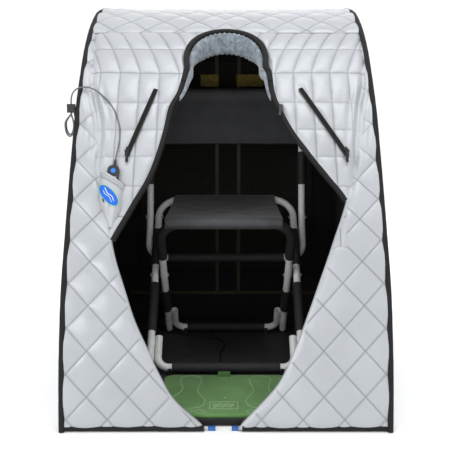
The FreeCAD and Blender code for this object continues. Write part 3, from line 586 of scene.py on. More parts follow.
def half_sheet(name, side):
    """One half of the front sheet, from its hem to behind the neck hole, as a closed quilted layer."""
    rows = np.linspace(0.004, JOIN_S, 350)
    spread = np.linspace(0, 1, 118)
    edge = np.minimum(opening_at(side, rows) + ROLL, OUTER - 0.02)
    edge = np.where(opening_at(side, rows) < 1e-4, 0.0005, edge)
    across = OUTER + (edge[:, None] - OUTER) * spread[None]
    s = np.broadcast_to(rows[:, None], across.shape)
    lift, seam = quilting(side, across, s)
    inset = np.clip(across - edge[:, None], 0, 0.016) / 0.016
    round_off = np.sqrt(1 - (1 - inset) ** 2)
    hem = smoothstep(s, 0.0, 0.02)
    lift = lift * round_off * hem
    front = on_cloth(side * across, s, lift)
    turn = np.linspace(0, math.pi, 9)[1:-1]
    roll_x = edge[:, None] - ROLL * np.sin(turn)[None] * (edge[:, None] > 0.001)
    roll_lift = -ROLL + ROLL * np.cos(turn)[None]
    roll_s = np.broadcast_to(rows[:, None], roll_x.shape)
    roll = on_cloth(side * roll_x, roll_s, np.broadcast_to(roll_lift, roll_x.shape))
    back_x = edge[:, None] + (OUTER - edge[:, None]) * np.linspace(0, 1, 40)[None]
    back_s = np.broadcast_to(rows[:, None], back_x.shape)
    back = on_cloth(side * back_x, back_s, -CLOTH + 0.0006 * ripple(back_x, back_s, CRINKLE))
    return quilted(name, np.concatenate([front, roll], axis=1), back, seam, front.shape[1] + roll.shape[1] - 2)


def roof_sheet():
    """The roof behind the neck hole, as a closed quilted layer."""
    rows = np.linspace(JOIN_S, SIDE_LENGTH - 0.014, 100)
    x = np.linspace(-OUTER, OUTER, 230)
    x_grid, s = np.meshgrid(x, rows)
    lift, seam = quilting(1, np.abs(x_grid), s)
    ends = smoothstep(s, JOIN_S, JOIN_S + 0.012)
    front = on_cloth(x_grid, s, lift * ends)
    back_grid, back_s = np.meshgrid(x[::-4], rows)
    back = on_cloth(back_grid, back_s, -CLOTH)
    # painted shade also along the seam where the roof meets the front halves
    return quilted("roof_quilt", front, back, np.maximum(seam, seam_share(s - JOIN_S) * SEAM_SHADE))


for side, word in SIDES:
    flap = place(half_sheet(word + "_flap_quilt", side), "cabin", "silver_cloth", word + "_front_flap")
place(roof_sheet(), "cabin", "silver_cloth", "roof_cover")

# ---------------------------------------------------------------- side and back walls

WALL_X = 0.344
WALL_REAR_Y = 0.388
WALL_PITCH = 0.094


def wall_quilt(a, b):
    """Lift and share of painted shade in the sewn grooves of the walls' diamonds."""
    first, second = (a + b) / WALL_PITCH, (a - b) / WALL_PITCH
    seam = seam_share(np.minimum(ridge(first), ridge(second)) * WALL_PITCH / math.sqrt(2) * 0.8)
    return 0.005 * cushion(first, second) + 0.003 * ripple(a, b, SAG), seam * SEAM_SHADE


def side_quilt(name, side):
    """A side wall: quilted silver outside and black inside."""
    rows = np.linspace(0.003, 0.925, 190)
    front = np.interp(rows, SIDE[:, 1], SIDE[:, 0]) + 0.006
    span = np.linspace(0, 1, 170)
    y = front[:, None] + (WALL_REAR_Y - front[:, None]) * span[None]
    z = np.broadcast_to(rows[:, None], y.shape)
    lift, seam = wall_quilt(y, z)
    edge = smoothstep(np.minimum(y - front[:, None], WALL_REAR_Y - y), 0, 0.012) * smoothstep(z, 0, 0.02)
    outer = np.stack([side * (WALL_X + (lift - 0.002) * edge), y, z], axis=-1)
    inner_y = y[:, ::-4]
    inner = np.stack([np.full(inner_y.shape, side * (WALL_X - CLOTH)), inner_y, z[:, ::-4]], axis=-1)
    return quilted(name, outer, inner, seam)


def back_quilt():
    """The back wall: quilted silver outside and black inside."""
    x, z = np.meshgrid(np.linspace(-OUTER, OUTER, 180), np.linspace(0.008, 0.930, 230))
    lift, seam = wall_quilt(x, z)
    edge = smoothstep(OUTER - np.abs(x), 0, 0.012)
    outer = np.stack([x, 0.396 + (lift - 0.002) * edge, z], axis=-1)
    inner = np.stack([x, np.full(x.shape, 0.387), z], axis=-1)[:, ::-4]
    return quilted("back_quilt", outer, inner, seam)


for side, word in SIDES:
    wall = place(side_quilt(word + "_wall_quilt", side), "cabin", "silver_cloth", word + "_side_wall")
place(back_quilt(), "cabin", "silver_cloth", "back_wall")

# ---------------------------------------------------------------- bindings and hems


FLOOR_GAP = 0.0002


def side_binding(name, side):
    """Folded tape over the seam between a side wall and the front sheet."""
    s = np.linspace(0, SIDE_LENGTH, 300)
    curl = smoothstep(s, SIDE_LENGTH - 0.06, SIDE_LENGTH)
    lift = 0.0012 + 0.0010 * ripple(0 * s, s, CRINKLE) + 0.002 * curl
    path = on_cloth(side * (0.3435 + 0.0008 * ripple(0 * s, s, SAG) - 0.003 * curl), s, lift - 0.0045)
    rings = sweep(path, (1, 0, 0), cloth_out(s), rounded_section(0.0128, 0.0185))
    rings[..., 2] = np.maximum(rings[..., 2], FLOOR_GAP)
    return joined(name, [closed(rings)], "black_binding")


for side, word in SIDES:
    place(side_binding(word + "_edge_tape", side), "cabin", "black_binding", word + "_edge_binding")


def bar(path_a, path_b, across, outward, wide, thick, count=60, wobble=0.0006):
    """A straight length of folded tape, slightly uneven, as (points, faces)."""
    path = np.linspace(path_a, path_b, count)
    run = np.linspace(0, np.linalg.norm(np.subtract(path_b, path_a)), count)
    path = path + np.outer(wobble * ripple(run, 0 * run, CRINKLE), outward)
    return closed(sweep(path, across, outward, rounded_section(wide, thick)))


TAPE_END, BACK_TOP_Z, BACK_TAPE_Y = 0.349, 0.934, 0.394
back_tapes = [bar((x, BACK_TAPE_Y, 0.001), (x, BACK_TAPE_Y, BACK_TOP_Z), (1, 0, 0), (0, 1, 0), 0.0125, 0.013)
              for x in (-WALL_X, WALL_X)]
back_tapes += [
    bar((-TAPE_END, 0.393, BACK_TOP_Z), (TAPE_END, 0.393, BACK_TOP_Z), (0, 1, 0), (0, 0, 1), 0.014, 0.012),
    bar((-TAPE_END, BACK_TAPE_Y, 0.0062), (TAPE_END, BACK_TAPE_Y, 0.0062), (0, 0, 1), (0, 1, 0), 0.0122, 0.013),
]
place(joined("back_tape", back_tapes, "black_binding"), "cabin", "black_binding", "back_binding")

HEM_Y, HEM_Z = -0.3935, 0.0065
left_hem_end, right_hem_end = -0.046, 0.034
hems = [
    bar((-TAPE_END, HEM_Y, HEM_Z), (left_hem_end, HEM_Y, HEM_Z), (0, 1, 0), (0, 0, 1), 0.0155, 0.0125),
    bar((right_hem_end, HEM_Y, HEM_Z), (TAPE_END, HEM_Y, HEM_Z), (0, 1, 0), (0, 0, 1), 0.0155, 0.0125),
    bar((-0.25, -0.369, HEM_Z), (0.25, -0.369, HEM_Z), (0, 1, 0), (0, 0, 1), 0.008, 0.011),
]
place(joined("front_hem_tape", hems, "black_binding"), "cabin", "black_binding", "front_hems")

# ---------------------------------------------------------------- neck hole


def neck_path(count, low_z, grow):
    """Even points round the neck hole, from one flap's edge to the other, and outward directions."""
    join_y = -0.030
    low, high = float(s_at_z(low_z)), float(s_at_y(join_y))
    s = np.linspace(low, high, 60)[:-1]
    y = np.interp(s, SIDE_S, SIDE[:, 0])
    left = np.stack([-opening_at(-1, s) - grow, y], axis=1)
    right = np.stack([opening_at(1, s) + grow, y], axis=1)[::-1]
    start = math.asin(join_y / NECK_DEEP)
    angle = np.linspace(math.pi - start, start, 200)
    middle = np.stack([(NECK_WIDE + grow) * np.cos(angle), (NECK_DEEP + grow) * np.sin(angle)], axis=1)
    line = np.concatenate([left, middle, right])
    for _ in range(40):
        line[1:-1] = (line[:-2] + 2 * line[1:-1] + line[2:]) / 4
    run = run_lengths(line)
    even = np.linspace(0, run[-1], count)
    x, y = np.interp(even, run, line[:, 0]), np.interp(even, run, line[:, 1])
    ahead = along_path(np.stack([x, y], axis=1))
    return x, y, np.stack([-ahead[:, 1], ahead[:, 0], 0 * x], axis=1)


def neck_piping():
    """Rounded black piping on the rim of the neck hole, down to the flaps' zips."""
    x, y, _ = neck_path(200, 0.728, -0.001)
    s = s_at_y(y)
    back = smoothstep(y, -0.05, -0.02)
    path = on_cloth(x, s, -0.003 + 0.0065 * back)
    outward = cloth_out(s)
    across = unit(np.cross(outward, along_path(path)))
    rings = sweep(path, across, outward, rounded_section(0.0135, 0.0115, 2.4))
    return joined("neck_piping", [closed(rings)], "black_binding")


def neck_collar():
    """A soft fleece roll that hangs inside the rim and narrows down along the flaps' edges."""
    count, around = 260, 56
    x, y, out = neck_path(count, 0.690, -0.005)
    s = s_at_y(y)
    rim = on_cloth(x, s, -0.002)
    run = np.linspace(0, 1, count)
    taper = np.clip(np.minimum(run, 1 - run) / 0.34, 0, 1)
    tall = 0.010 + 0.042 * taper
    thick = 0.005 + 0.012 * taper ** 0.8
    angle = np.linspace(0, 2 * math.pi, around, endpoint=False)
    section = np.stack([np.outer(thick / 2, np.cos(angle)), np.outer(tall / 2, np.sin(angle))], axis=-1)
    centre = rim - out * (thick / 2)[:, None] - np.array([0, 0, 1]) * (tall / 2 - 0.002)[:, None]
    rings = sweep(centre, -out, np.array([0.0, 0.0, 1.0]), section)
    lumps = (0.0010 * np.sin(34 * run * 2 * math.pi)[:, None] * np.sin(angle * 3)[None]
             + 0.0008 * np.sin(61 * run * 2 * math.pi + 1)[:, None] * np.cos(angle * 5)[None]
             + 0.0006 * np.sin(113 * run * 2 * math.pi)[:, None] * np.cos(angle * 9 + 2)[None])
    rings = rings + (rings - centre[:, None]) / 0.02 * lumps[..., None]
    return joined("neck_fleece", [closed(rings)], "collar_fleece")


place(neck_piping(), "cabin", "black_binding", "neck_binding")
place(neck_collar(), "cabin", "collar_fleece", "neck_collar")

# ---------------------------------------------------------------- zips


BOX_FACES = [(0, 1, 3, 2), (4, 6, 7, 5), (0, 4, 5, 1), (2, 3, 7, 6), (0, 2, 6, 4), (1, 5, 7, 3)]


def teeth(path, across, outward, pitch, wide, long, high):
    """Small interlocking teeth along a path, as (points, faces)."""
    path = np.asarray(path, float)
    run = run_lengths(path)
    spots = np.arange(pitch, run[-1] - pitch, pitch)
    ahead = along_path(path)
    made = []
    for number, spot in enumerate(spots):
        here = np.array([np.interp(spot, run, path[:, k]) for k in range(3)])
        index = min(int(np.searchsorted(run, spot)), len(path) - 1)
        shift = across[index] * (wide * 0.22 * (1 if number % 2 else -1))
        box = np.array([(a, b, c) for a in (-1, 1) for b in (-1, 1) for c in (-1, 1)], float) / 2
        taper = np.where(box[:, 2:] > 0, 0.7, 1.0)
        points = (here + shift + box[:, :1] * taper * wide * across[index]
                  + box[:, 1:2] * taper * long * ahead[index] + box[:, 2:] * high * outward[index])
        made.append((points, BOX_FACES))
    return made


def free_edge_tape(name, side):
    """The zip tape on a flap's upper free edge, with its row of teeth."""
    corner = EDGES[side][1][0][0]
    z = np.linspace(corner + 0.002, 0.752, 170)
    s = s_at_z(z)
    edge = opening_at(side, s)
    path = on_cloth(side * (edge + 0.001), s, -0.0035)
    outward = cloth_out(s)
    across = unit(np.cross(outward, along_path(path)))
    inwards = -side * np.sign(across[:, :1])
    tooth_line = path + across * inwards * 0.0065 + outward * 0.003
    parts = [closed(sweep(path, across, outward, rounded_section(0.0145, 0.0075)))]
    parts += teeth(tooth_line, across, outward, 0.003, 0.004, 0.0017, 0.0022)
    return joined(name, parts, "zip_tape")


for side, word in SIDES:
    place(free_edge_tape(word + "_edge_zip", side), "cabin", "zip_tape", word + "_zip_tape")


def arm_zip(word):
    """A short closed zip: a strip of tape with a raised row of teeth."""
    (top_x, top_z), (low_x, low_z) = ARM_ZIPS[word]
    z = np.linspace(low_z - 0.004, top_z, 90)
    x = np.interp(z, [low_z, top_z], [low_x, top_x])
    s = s_at_z(z)
    path = on_cloth(x, s, 0.0062)
    outward = cloth_out(s)
    across = unit(np.cross(outward, along_path(path)))
    parts = [closed(sweep(path, across, outward, rounded_section(0.0115, 0.0034)))]
    parts += teeth(path + outward * 0.0018, across, outward, 0.0026, 0.0046, 0.0015, 0.0018)
    return joined(word + "_arm_closure", parts, "zip_tape")


for word in ARM_ZIPS:
    place(arm_zip(word), "cabin", "zip_tape", word + "_arm_zip")

# ---------------------------------------------------------------- cords

REMOTE_ROUTE = [
    (-0.246683, -0.196167, 0.551472), (-0.245429, -0.190173, 0.561792), (-0.243, -0.174, 0.579),
    (-0.241, -0.158, 0.597), (-0.244, -0.137, 0.628), (-0.260, -0.111, 0.665), (-0.289, -0.090, 0.695),
    (-0.318, -0.079, 0.713), (-0.343, -0.084, 0.713), (-0.355, -0.098, 0.704), (-0.359, -0.110, 0.689),
    (-0.359, -0.110, 0.674),
]
TAIL_ROUTE = [
    (-0.357, -0.104, 0.660), (-0.357, -0.092, 0.660), (-0.357, -0.080, 0.640), (-0.355, -0.069, 0.613),
    (-0.351, -0.060, 0.594), (-0.351, -0.060, 0.578),
]
FLOOR_TOP = 0.010
CORD_Z = FLOOR_TOP + 0.0023
PAD_ROUTE = [(x, y, CORD_Z) for x, y in (
    (-0.005, -0.1074), (-0.005, -0.084), (-0.008, -0.036), (-0.017, 0.014), (-0.015, 0.060), (-0.004, 0.104),
    (-0.002, 0.146), (-0.020, 0.176), (-0.058, 0.196), (-0.112, 0.209), (-0.164, 0.232), (-0.200, 0.280),
    (-0.217, 0.328), (-0.220, 0.351), (-0.220, 0.370))]
CORD_THICK, PAD_CORD_THICK = 0.0036, 0.004


def smooth_line(route):
    """Points of one open smooth spline whose control points are the route."""
    curve = bpy.data.curves.new("route", "CURVE")
    curve.dimensions = "3D"
    curve.resolution_u = 12
    line = curve.splines.new("NURBS")
    line.points.add(len(route) - 1)
    for point, spot in zip(line.points, route):
        point.co = (*spot, 1)
    line.order_u = 3
    line.use_endpoint_u = True
    guide = bpy.data.objects.new("route", curve)
    bpy.context.scene.collection.objects.link(guide)
    mesh = bpy.data.meshes.new_from_object(guide)
    points = np.array([vertex.co for vertex in mesh.vertices])
    bpy.data.objects.remove(guide)
    bpy.data.curves.remove(curve)
    bpy.data.meshes.remove(mesh)
    return points


def tube_rings(path, radius, around=12):
    """Rings of a round tube along points, turned as little as possible from one to the next."""
    ahead = along_path(path)
    across = np.zeros_like(path)
    across[0] = unit(np.cross(ahead[0], (0.3, 0.2, 0.93)))
    for i in range(1, len(path)):
        across[i] = unit(across[i - 1] - ahead[i] * np.dot(across[i - 1], ahead[i]))
    angle = np.linspace(0, 2 * math.pi, around, endpoint=False)
    radius = np.broadcast_to(radius, len(path))[:, None, None]
    section = np.stack([np.cos(angle), np.sin(angle)], axis=1)[None] * radius
    return sweep(path, across, np.cross(ahead, across), section)


def tube(name, path, radius, material, around=12):
    return joined(name, [closed(tube_rings(path, radius, around))], material)


def hank_route():
    """The folded turns of the remote's cord, hanging from its tie."""
    x_low, x_high = -0.3745, -0.3535
    top, low = 0.651, 0.5975
    route = []
    for turn, (reach, y) in enumerate(((0.0, -0.1125), (0.004, -0.1075))):
        bottom = low + reach
        narrow = 0.0015 * turn
        left, right = x_low + narrow, x_high - narrow
        middle = (left + right) / 2
        route += [(middle + 0.004, y, top), (right - 0.001, y, top - 0.016), (right, y, (top + bottom) / 2),
                  (right - 0.002, y, bottom + 0.009), (middle, y, bottom), (left + 0.002, y, bottom + 0.009),
                  (left, y, (top + bottom) / 2), (left + 0.001, y, top - 0.016)]
    route.append((-0.3595, -0.106, top + 0.002))
    return route


remote_path = smooth_line(REMOTE_ROUTE + hank_route() + TAIL_ROUTE)
remote_cord = tube("remote_cord_line", remote_path, CORD_THICK / 2, "grey_cord")
bent(remote_cord, ["remote_cord", "remote_cord_hank", "remote_cord_tail"],
     REMOTE_ROUTE[0], (-0.290, -0.110, 0.640))
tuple(REMOTE_ROUTE[0])
pad_path = smooth_line(PAD_ROUTE)
pad_cord = tube("pad_cord_line", pad_path, PAD_CORD_THICK / 2, "black_cord")
bent(pad_cord, ["pad_cord"], PAD_ROUTE[0], (-0.005, 0.030, CORD_Z))
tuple(PAD_ROUTE[0])

# ---------------------------------------------------------------- chair

SEAT_REAR, SEAT_FRONT = np.array([0.267, 0.400]), np.array([-0.035, 0.380])
REAR_BASE = np.array([0.241, 0.0272])
TUBE = 0.0095


def wrap(centre, radius, first, last, count=14):
    """An arc in the side view round a bar, from one angle to another in degrees."""
    angle = np.radians(np.linspace(first, last, count))
    return np.stack([centre[0] + radius * np.cos(angle), centre[1] + radius * np.sin(angle)], axis=1)


def seat_cloth():
    """The seat: cloth round the rear bar, across with a sag, and in a padded roll round the front bar."""
    rear = wrap(SEAT_REAR, TUBE + 0.0018, -100, 92)
    front = wrap(SEAT_FRONT, TUBE + 0.0032, 88, 262)
    share = np.linspace(0, 1, 34)[1:-1]
    run = rear[-1] + (front[0] - rear[-1]) * share[:, None]
    line = np.concatenate([rear, run, front])
    steps = run_lengths(line)
    low_s, high_s = steps[len(rear) - 1], steps[len(rear) + len(run)]
    ahead = unit(np.gradient(line, axis=0))
    normal = np.stack([ahead[:, 1], -ahead[:, 0]], axis=1)
    columns = 60
    share_x = np.linspace(-1, 1, columns)
    span = np.clip((steps - low_s) / (high_s - low_s), 0, 1)
    half_left = 0.146 + 0.006 * span
    half_right = 0.137 + 0.004 * span
    x = np.where(share_x < 0, share_x * half_left[:, None], share_x * half_right[:, None])
    sag = 0.011 * np.sin(math.pi * span)[:, None] * (1 - 0.55 * np.abs(share_x[None]) ** 3)
    crease = 0.0013 * ripple(x * 0.5, steps[:, None] * 0.7, CRINKLE) * (0.3 + np.sin(math.pi * span))[:, None]
    y = np.broadcast_to(line[:, :1], x.shape)
    z = line[:, 1:] - sag + crease
    half = 0.0012
    upper = np.stack([x, y - normal[:, :1] * half, z - normal[:, 1:] * half], axis=-1)
    under = np.stack([x, y + normal[:, :1] * half, z + normal[:, 1:] * half], axis=-1)
    rings = np.concatenate([upper, under[:, ::-1]], axis=1)
    return joined("seat_cloth", [closed(rings)], "chair_cloth")


seat = bent(seat_cloth(), ["seat_sling"],
            (0, *SEAT_REAR), (0, *SEAT_FRONT))

leg = SEAT_FRONT - REAR_BASE
leg_long = float(np.linalg.norm(leg))
leg_way = leg / leg_long


def front_roll():
    """Black foam from the upper front legs round both bends and along the seat's front bar."""
    turn = 0.062
    half = 0.166
    corner = np.radians(np.linspace(0, 90, 16))
    right = [(half, leg_long * 0.70), (half, leg_long * 0.80)]
    right += [(half - turn + turn * math.cos(a), leg_long - turn + turn * math.sin(a)) for a in corner]
    flat = right + [(-x, along) for x, along in right[::-1]]
    path = np.array([(x, *(REAR_BASE + leg_way * along)) for x, along in flat])
    lengths = run_lengths(path)
    even = np.linspace(0, lengths[-1], 150)
    path = np.stack([np.interp(even, lengths, path[:, k]) for k in range(3)], axis=1)
    end = np.minimum(even, even[-1] - even)
    radius = 0.0122 * smoothstep(end, -0.004, 0.004) + 0.0003 * ripple(even, even * 0.3, CRINKLE)
    return tube("front_roll", path, radius, "black_foam", 20)


place(front_roll(), "rear_legs", "black_foam")

PIVOT = np.array([0.224, 0.355471])
BACK_TOP = np.array([0.299, 0.702])
back_way = BACK_TOP - PIVOT
back_long = float(np.linalg.norm(back_way))
back_way = back_way / back_long


def back_cloth():
    """The back sling: a sleeve of cloth over the top of the backrest's loop, drawn in between its tubes."""
    half_span, turn, clear = 0.214, 0.062, 0.0112
    rows = np.concatenate([np.linspace(0.208, back_long - turn, 24),
                           back_long - turn + (turn + clear) * np.sin(np.linspace(0.05, math.pi / 2, 22))])
    rings = []
    for along in rows:
        up = max(0.0, along - (back_long - turn))
        reach = turn + clear
        half_wide = half_span - turn + reach * math.sqrt(max(0.0, 1 - (up / reach) ** 2))
        past = max(0.0, (along - back_long) / clear)
        closing = math.sqrt(max(0.02, 1 - past**2))
        angle = np.linspace(0, 2 * math.pi, 120, endpoint=False)
        c, s = np.cos(angle), np.sin(angle)
        x = np.sign(c) * np.abs(c) ** (2 / 5) * half_wide
        edge = np.abs(x) / half_wide
        top = smoothstep(along, back_long - 0.03, back_long)
        thick = (0.0032 + (clear - 0.0032) * (edge**8 * (1 - top) + top)) * closing
        hem = 0.0012 * math.exp(-((along - 0.212) / 0.004) ** 2)
        drawn = 0.006 * (1 - edge**2) * (1 - top)
        front = np.sign(s) * np.abs(s) ** (2 / 3) * (thick + hem) - drawn * 0.6
        front = front + 0.0007 * ripple(x, np.full_like(x, along), CRINKLE) * (edge < 0.97)
        rings.append(np.stack([x, PIVOT[0] + back_way[0] * along + front * back_way[1],
                               PIVOT[1] + back_way[1] * along - front * back_way[0]], axis=1))
    return joined("back_cloth", [closed(np.array(rings))], "chair_cloth")


place(back_cloth(), "backrest", "chair_cloth", "backrest_sling")

# ---------------------------------------------------------------- foot pad

PAD_LOW, PAD_HIGH = (np.array(corner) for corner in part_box("foot_pad"))


def pad_outline(inset, corner=0.026, count=12):
    """Points round the pad, inset from its edge."""
    low, high = PAD_LOW[:2] + inset, PAD_HIGH[:2] - inset
    corner = max(0.004, corner - inset)
    points = []
    low_mid, high_mid = low + corner, high - corner
    middles = (high_mid, (low_mid[0], high_mid[1]), low_mid, (high_mid[0], low_mid[1]))
    for number, middle in enumerate(middles):
        for angle in np.radians(np.linspace(90 * number, 90 * number + 90, count)):
            points.append(middle + corner * np.array([math.cos(angle), math.sin(angle)]))
    return np.array(points)


def felt_pad():
    """A soft felt pad with a rounded rim, slightly wavy on top."""
    levels = [(0.0015, 0.0), (0.0, 0.0025), (0.0, 0.006), (0.0012, 0.0082), (0.004, 0.0092)]
    levels += [(inset, 0.0094) for inset in (0.010, 0.020, 0.035, 0.055, 0.075, 0.095, 0.110)]
    rings = []
    for number, (inset, high) in enumerate(levels):
        flat = pad_outline(inset)
        wave = 0.0006 * ripple(flat[:, 0] * 0.6, flat[:, 1] * 0.6, CRINKLE) if number > 3 else 0 * flat[:, 0]
        rings.append(np.column_stack([flat, PAD_LOW[2] + high + wave]))
    return joined("felt_pad", [closed(np.array(rings))], "green_pad")


place(felt_pad(), "foot_pad", "green_pad", "foot_pad")
PRINT_Z = PAD_LOW[2] + 0.0098
SOLE = [
    (-0.085, -0.131), (-0.104, -0.142), (-0.108, -0.166), (-0.101, -0.200), (-0.104, -0.232), (-0.119, -0.262),
    (-0.126, -0.292), (-0.112, -0.318), (-0.085, -0.325), (-0.056, -0.316), (-0.046, -0.290), (-0.054, -0.258),
    (-0.064, -0.228), (-0.062, -0.196), (-0.057, -0.162), (-0.066, -0.138),
]


def closed_loop(points, count=120):
    """A smooth closed line through points in the plane."""
    points = np.array(points, float)
    value, end = spline(np.concatenate([points[-3:], points, points[:3]]))
    line = value(np.linspace(0, end, 1200))
    steps = np.linalg.norm(line - points[0], axis=1)
    first = int(np.argmin(steps[:600]))
    last = 600 + int(np.argmin(steps[600:]))
    return line[np.linspace(first, last, count).astype(int)]


def print_line(flat):
    """A thin raised line of print on the pad."""
    path = np.column_stack([flat, np.full(len(flat), PRINT_Z)])
    across = unit(np.cross((0, 0, 1), along_path(path)))
    return closed(sweep(path, across, (0, 0, 1), rounded_section(0.0017, 0.0009, 2.0, 8)))


def ellipse(x, y, wide, deep, count=40):
    angle = np.linspace(0, 2 * math.pi, count)
    return np.column_stack([x + wide * np.cos(angle), y + deep * np.sin(angle)])


prints = []
for side in (-1, 1):
    sole = closed_loop([(side * abs(x) - 0.001, y) for x, y in SOLE])
    prints.append(print_line(sole))
    prints.append(print_line(ellipse(side * 0.057, -0.3425, 0.0115, 0.0085)))
    prints.append(print_line(ellipse(side * 0.080, -0.3405, 0.0075, 0.0065)))
frame_x, frame_y = np.array([-0.036, 0.026]), np.array([-0.328, -0.290])
corners = [(frame_x[i], frame_y[j]) for i, j in ((0, 0), (1, 0), (1, 1), (0, 1))]
for first, last in zip(corners, corners[1:] + corners[:1]):
    prints.append(print_line(np.linspace(first, last, 12)))
wave_x = np.linspace(frame_x[0] + 0.008, frame_x[1] - 0.008, 50)
for height, phase in ((-0.302, 0.0), (-0.309, 1.0), (-0.316, 2.0)):
    prints.append(print_line(np.column_stack([wave_x, height + 0.0035 * np.sin(wave_x * 380 + phase)])))
prints.append(print_line(ellipse(-0.002, -0.267, 0.0018, 0.0018, 14)))
place(joined("pad_marks", prints, "pad_print"), "foot_pad", "green_pad")

# ---------------------------------------------------------------- remote's pocket

POCKET_AT = np.array([-0.254, -0.231133, 0.491274])
POCKET_X = np.array([0.994522, -0.052501, -0.090387])
POCKET_Y = np.array([0.104528, 0.499509, 0.859979])
POCKET_OUT = np.array([0.0, -0.864716, 0.502261])


POUCH_BACK = -0.0100


def on_pocket(x, y, out):
    """A place on the pocket: x across it, y up it and out from it."""
    x, y, out = np.broadcast_arrays(x, y, out)
    return POCKET_AT + x[..., None] * POCKET_X + y[..., None] * POCKET_Y + out[..., None] * POCKET_OUT


def mouth_y(x):
    """The pocket's mouth slants down to the right."""
    return 0.024 - 0.55 * x


def pocket_half(share):
    """Half width of the pouch, from its mouth at 0 to its tip at 1."""
    return 0.030 * (1 - 0.10 * share) * (1 - 0.82 * smoothstep(share, 0.45, 1.03))


def pocket_bulge(u):
    return (1 - np.abs(u) ** 3.0) ** 0.8


def pouch():
    """The pocket as a gathered pouch that bulges over the remote and narrows to its lower end."""
    rows, columns = 70, 70
    share = np.linspace(0, 1, rows)[:, None]
    u = np.linspace(-1, 1, columns)[None]
    x = u * pocket_half(share) + 0.013 * share**1.6  # the tip leans to the right
    top = mouth_y(x)
    y = top + (-0.088 - top) * share
    bulge = pocket_bulge(u)
    full = 0.0035 + 0.0150 * (1 - smoothstep(share, 0.50, 1.0))
    out = POUCH_BACK + full * bulge
    out = out + 0.0011 * np.sin(x * 300 + share * 4 + 0.8 * u) * bulge * smoothstep(share, 0.12, 0.5)
    outer = on_pocket(x, y, out)
    inner = on_pocket(x * 0.97, y, out - 0.0012)
    rings = np.concatenate([outer, inner[:, ::-1]], axis=1)
    piece = joined("remote_pouch", [closed(rings)], "silver_cloth")
    # Painted shade along the pouch's sewn sides and in a line under its hem, darkening the silver cloth there.
    edge = np.exp(-((1 - np.abs(u)) / 0.06) ** 2) + 0 * share
    shade_under_hem = np.exp(-((share - 0.10) / 0.014) ** 2) + 0 * u
    shares = np.concatenate([np.maximum(edge, shade_under_hem) * 0.7, np.zeros_like(outer[..., 0])], axis=1)
    store_seam_shade(piece, shares)
    return piece


def pocket_hem():
    """The folded double hem along the pocket's mouth."""
    u = np.linspace(-0.99, 0.99, 70)
    x = u * pocket_half(0.0)
    out = POUCH_BACK + 0.0186 * pocket_bulge(u)
    parts = []
    for drop, wide in ((0.0, 0.0052), (-0.0065, 0.0034)):
        path = on_pocket(x, mouth_y(x) + drop, out + 0.0006)
        across = unit(np.cross(POCKET_OUT, along_path(path)))
        parts.append(closed(sweep(path, across, POCKET_OUT, rounded_section(wide, 0.003, 2.4))))
    return joined("pocket_hem", parts, "silver_cloth")


place(pouch(), "cabin", "silver_cloth", "remote_pocket")
place(pocket_hem(), "cabin", "silver_cloth")

BADGE_TURN = math.radians(-44)
# half sizes of the badge's rim
BADGE_LONG, BADGE_WIDE = 0.0303, 0.0133


def on_badge(a, b, out):
    """A place on the badge: a along its long axis, b across it."""
    x = a * math.cos(BADGE_TURN) - b * math.sin(BADGE_TURN)
    y = -0.020 + a * math.sin(BADGE_TURN) + b * math.cos(BADGE_TURN)
    return on_pocket(x, y, out)


def badge_strip(a, b, wide, high=0.0101):
    """A thin raised line on the badge."""
    path = on_badge(a, b, high)
    across = unit(np.cross(POCKET_OUT, along_path(path)))
    return closed(sweep(path, across, POCKET_OUT, rounded_section(wide, 0.0007, 2.0, 8)))


angle = np.linspace(0, 2 * math.pi, 90)
rim = badge_strip(BADGE_LONG * np.cos(angle), BADGE_WIDE * np.sin(angle), 0.0011, 0.0096)
place(joined("badge_rim", [rim], "badge_green"), "cabin", "badge_blue")
run = np.linspace(-0.020, 0.018, 50)
waves = [badge_strip(run, 0.0026 + 0.0014 * np.sin(run * 260), 0.0017),
         badge_strip(run[4:], -0.0026 + 0.0014 * np.sin(run[4:] * 260 + 0.5), 0.0012)]
place(joined("badge_waves", waves, "badge_pale"), "cabin", "badge_blue")

# ---------------------------------------------------------------- heater's bright patches

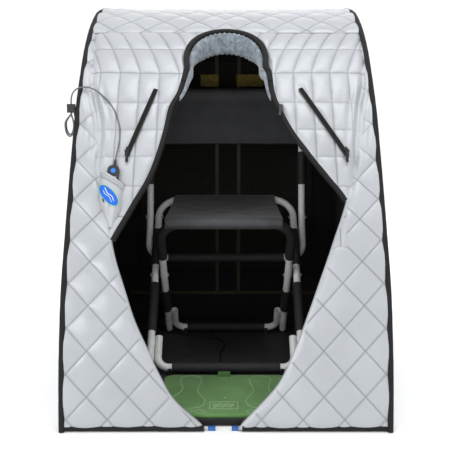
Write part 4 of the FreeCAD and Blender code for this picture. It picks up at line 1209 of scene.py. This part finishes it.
patch_y, patch_z = float(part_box("heater_strips")[0][1]) - 0.0009, 0.738
patches = []
for low_x, high_x in ((-0.077, -0.021), (0.029, 0.112)):
    patches.append(bar((low_x, patch_y, patch_z), (high_x, patch_y, patch_z), (0, 0, 1), (0, 1, 0),
                       0.036, 0.0014, count=12, wobble=0.0))
place(joined("heater_foil", patches, "heater_foil"), "cabin", "heater_strip")

# ---------------------------------------------------------------- camera, floor and lights

camera_data = bpy.data.cameras.new("camera")
camera_data.lens, camera_data.sensor_width = 60.0, 36.0
camera_data.shift_x = -1 / 450
camera = bpy.data.objects.new("camera", camera_data)
camera.location = (0, -1.872, 0.690)
camera.rotation_euler = (math.radians(90 - 9.685), 0, 0)
bpy.context.scene.collection.objects.link(camera)
bpy.context.scene.camera = camera

floor_material = new_material("studio_floor", (1.0, 1.0, 1.0), 0.9)[0]
bpy.ops.mesh.primitive_plane_add(size=14, location=(0, 1.0, -0.0005))
studio_floor = bpy.context.object
studio_floor.name = "studio_floor"
studio_floor.data.materials.append(floor_material)

world = bpy.data.worlds.new("studio")
world.use_nodes = True
world.node_tree.nodes["Background"].inputs["Color"].default_value = (1.0, 1.0, 1.0, 1)
world.node_tree.nodes["Background"].inputs["Strength"].default_value = 1.05
bpy.context.scene.world = world


def area_light(name, spot, aim, wide, power):
    data = bpy.data.lights.new(name, "AREA")
    data.shape, data.size, data.size_y, data.energy = "RECTANGLE", wide, wide * 0.7, power
    lamp = bpy.data.objects.new(name, data)
    lamp.location = spot
    lamp.rotation_euler = (Vector(aim) - Vector(spot)).to_track_quat("-Z", "Y").to_euler()
    bpy.context.scene.collection.objects.link(lamp)


area_light("overhead", (0.2, -0.4, 2.9), (0, 0, 0.7), 1.6, 16)
area_light("front_left", (-2.0, -2.6, 1.6), (0, -0.1, 0.5), 1.2, 20)
area_light("front_right", (2.2, -2.2, 1.0), (0, -0.1, 0.4), 1.2, 4)
area_light("behind", (0.3, 2.6, 2.0), (0, 0.2, 0.6), 1.8, 8)

bpy.context.scene.view_settings.view_transform = "Standard"
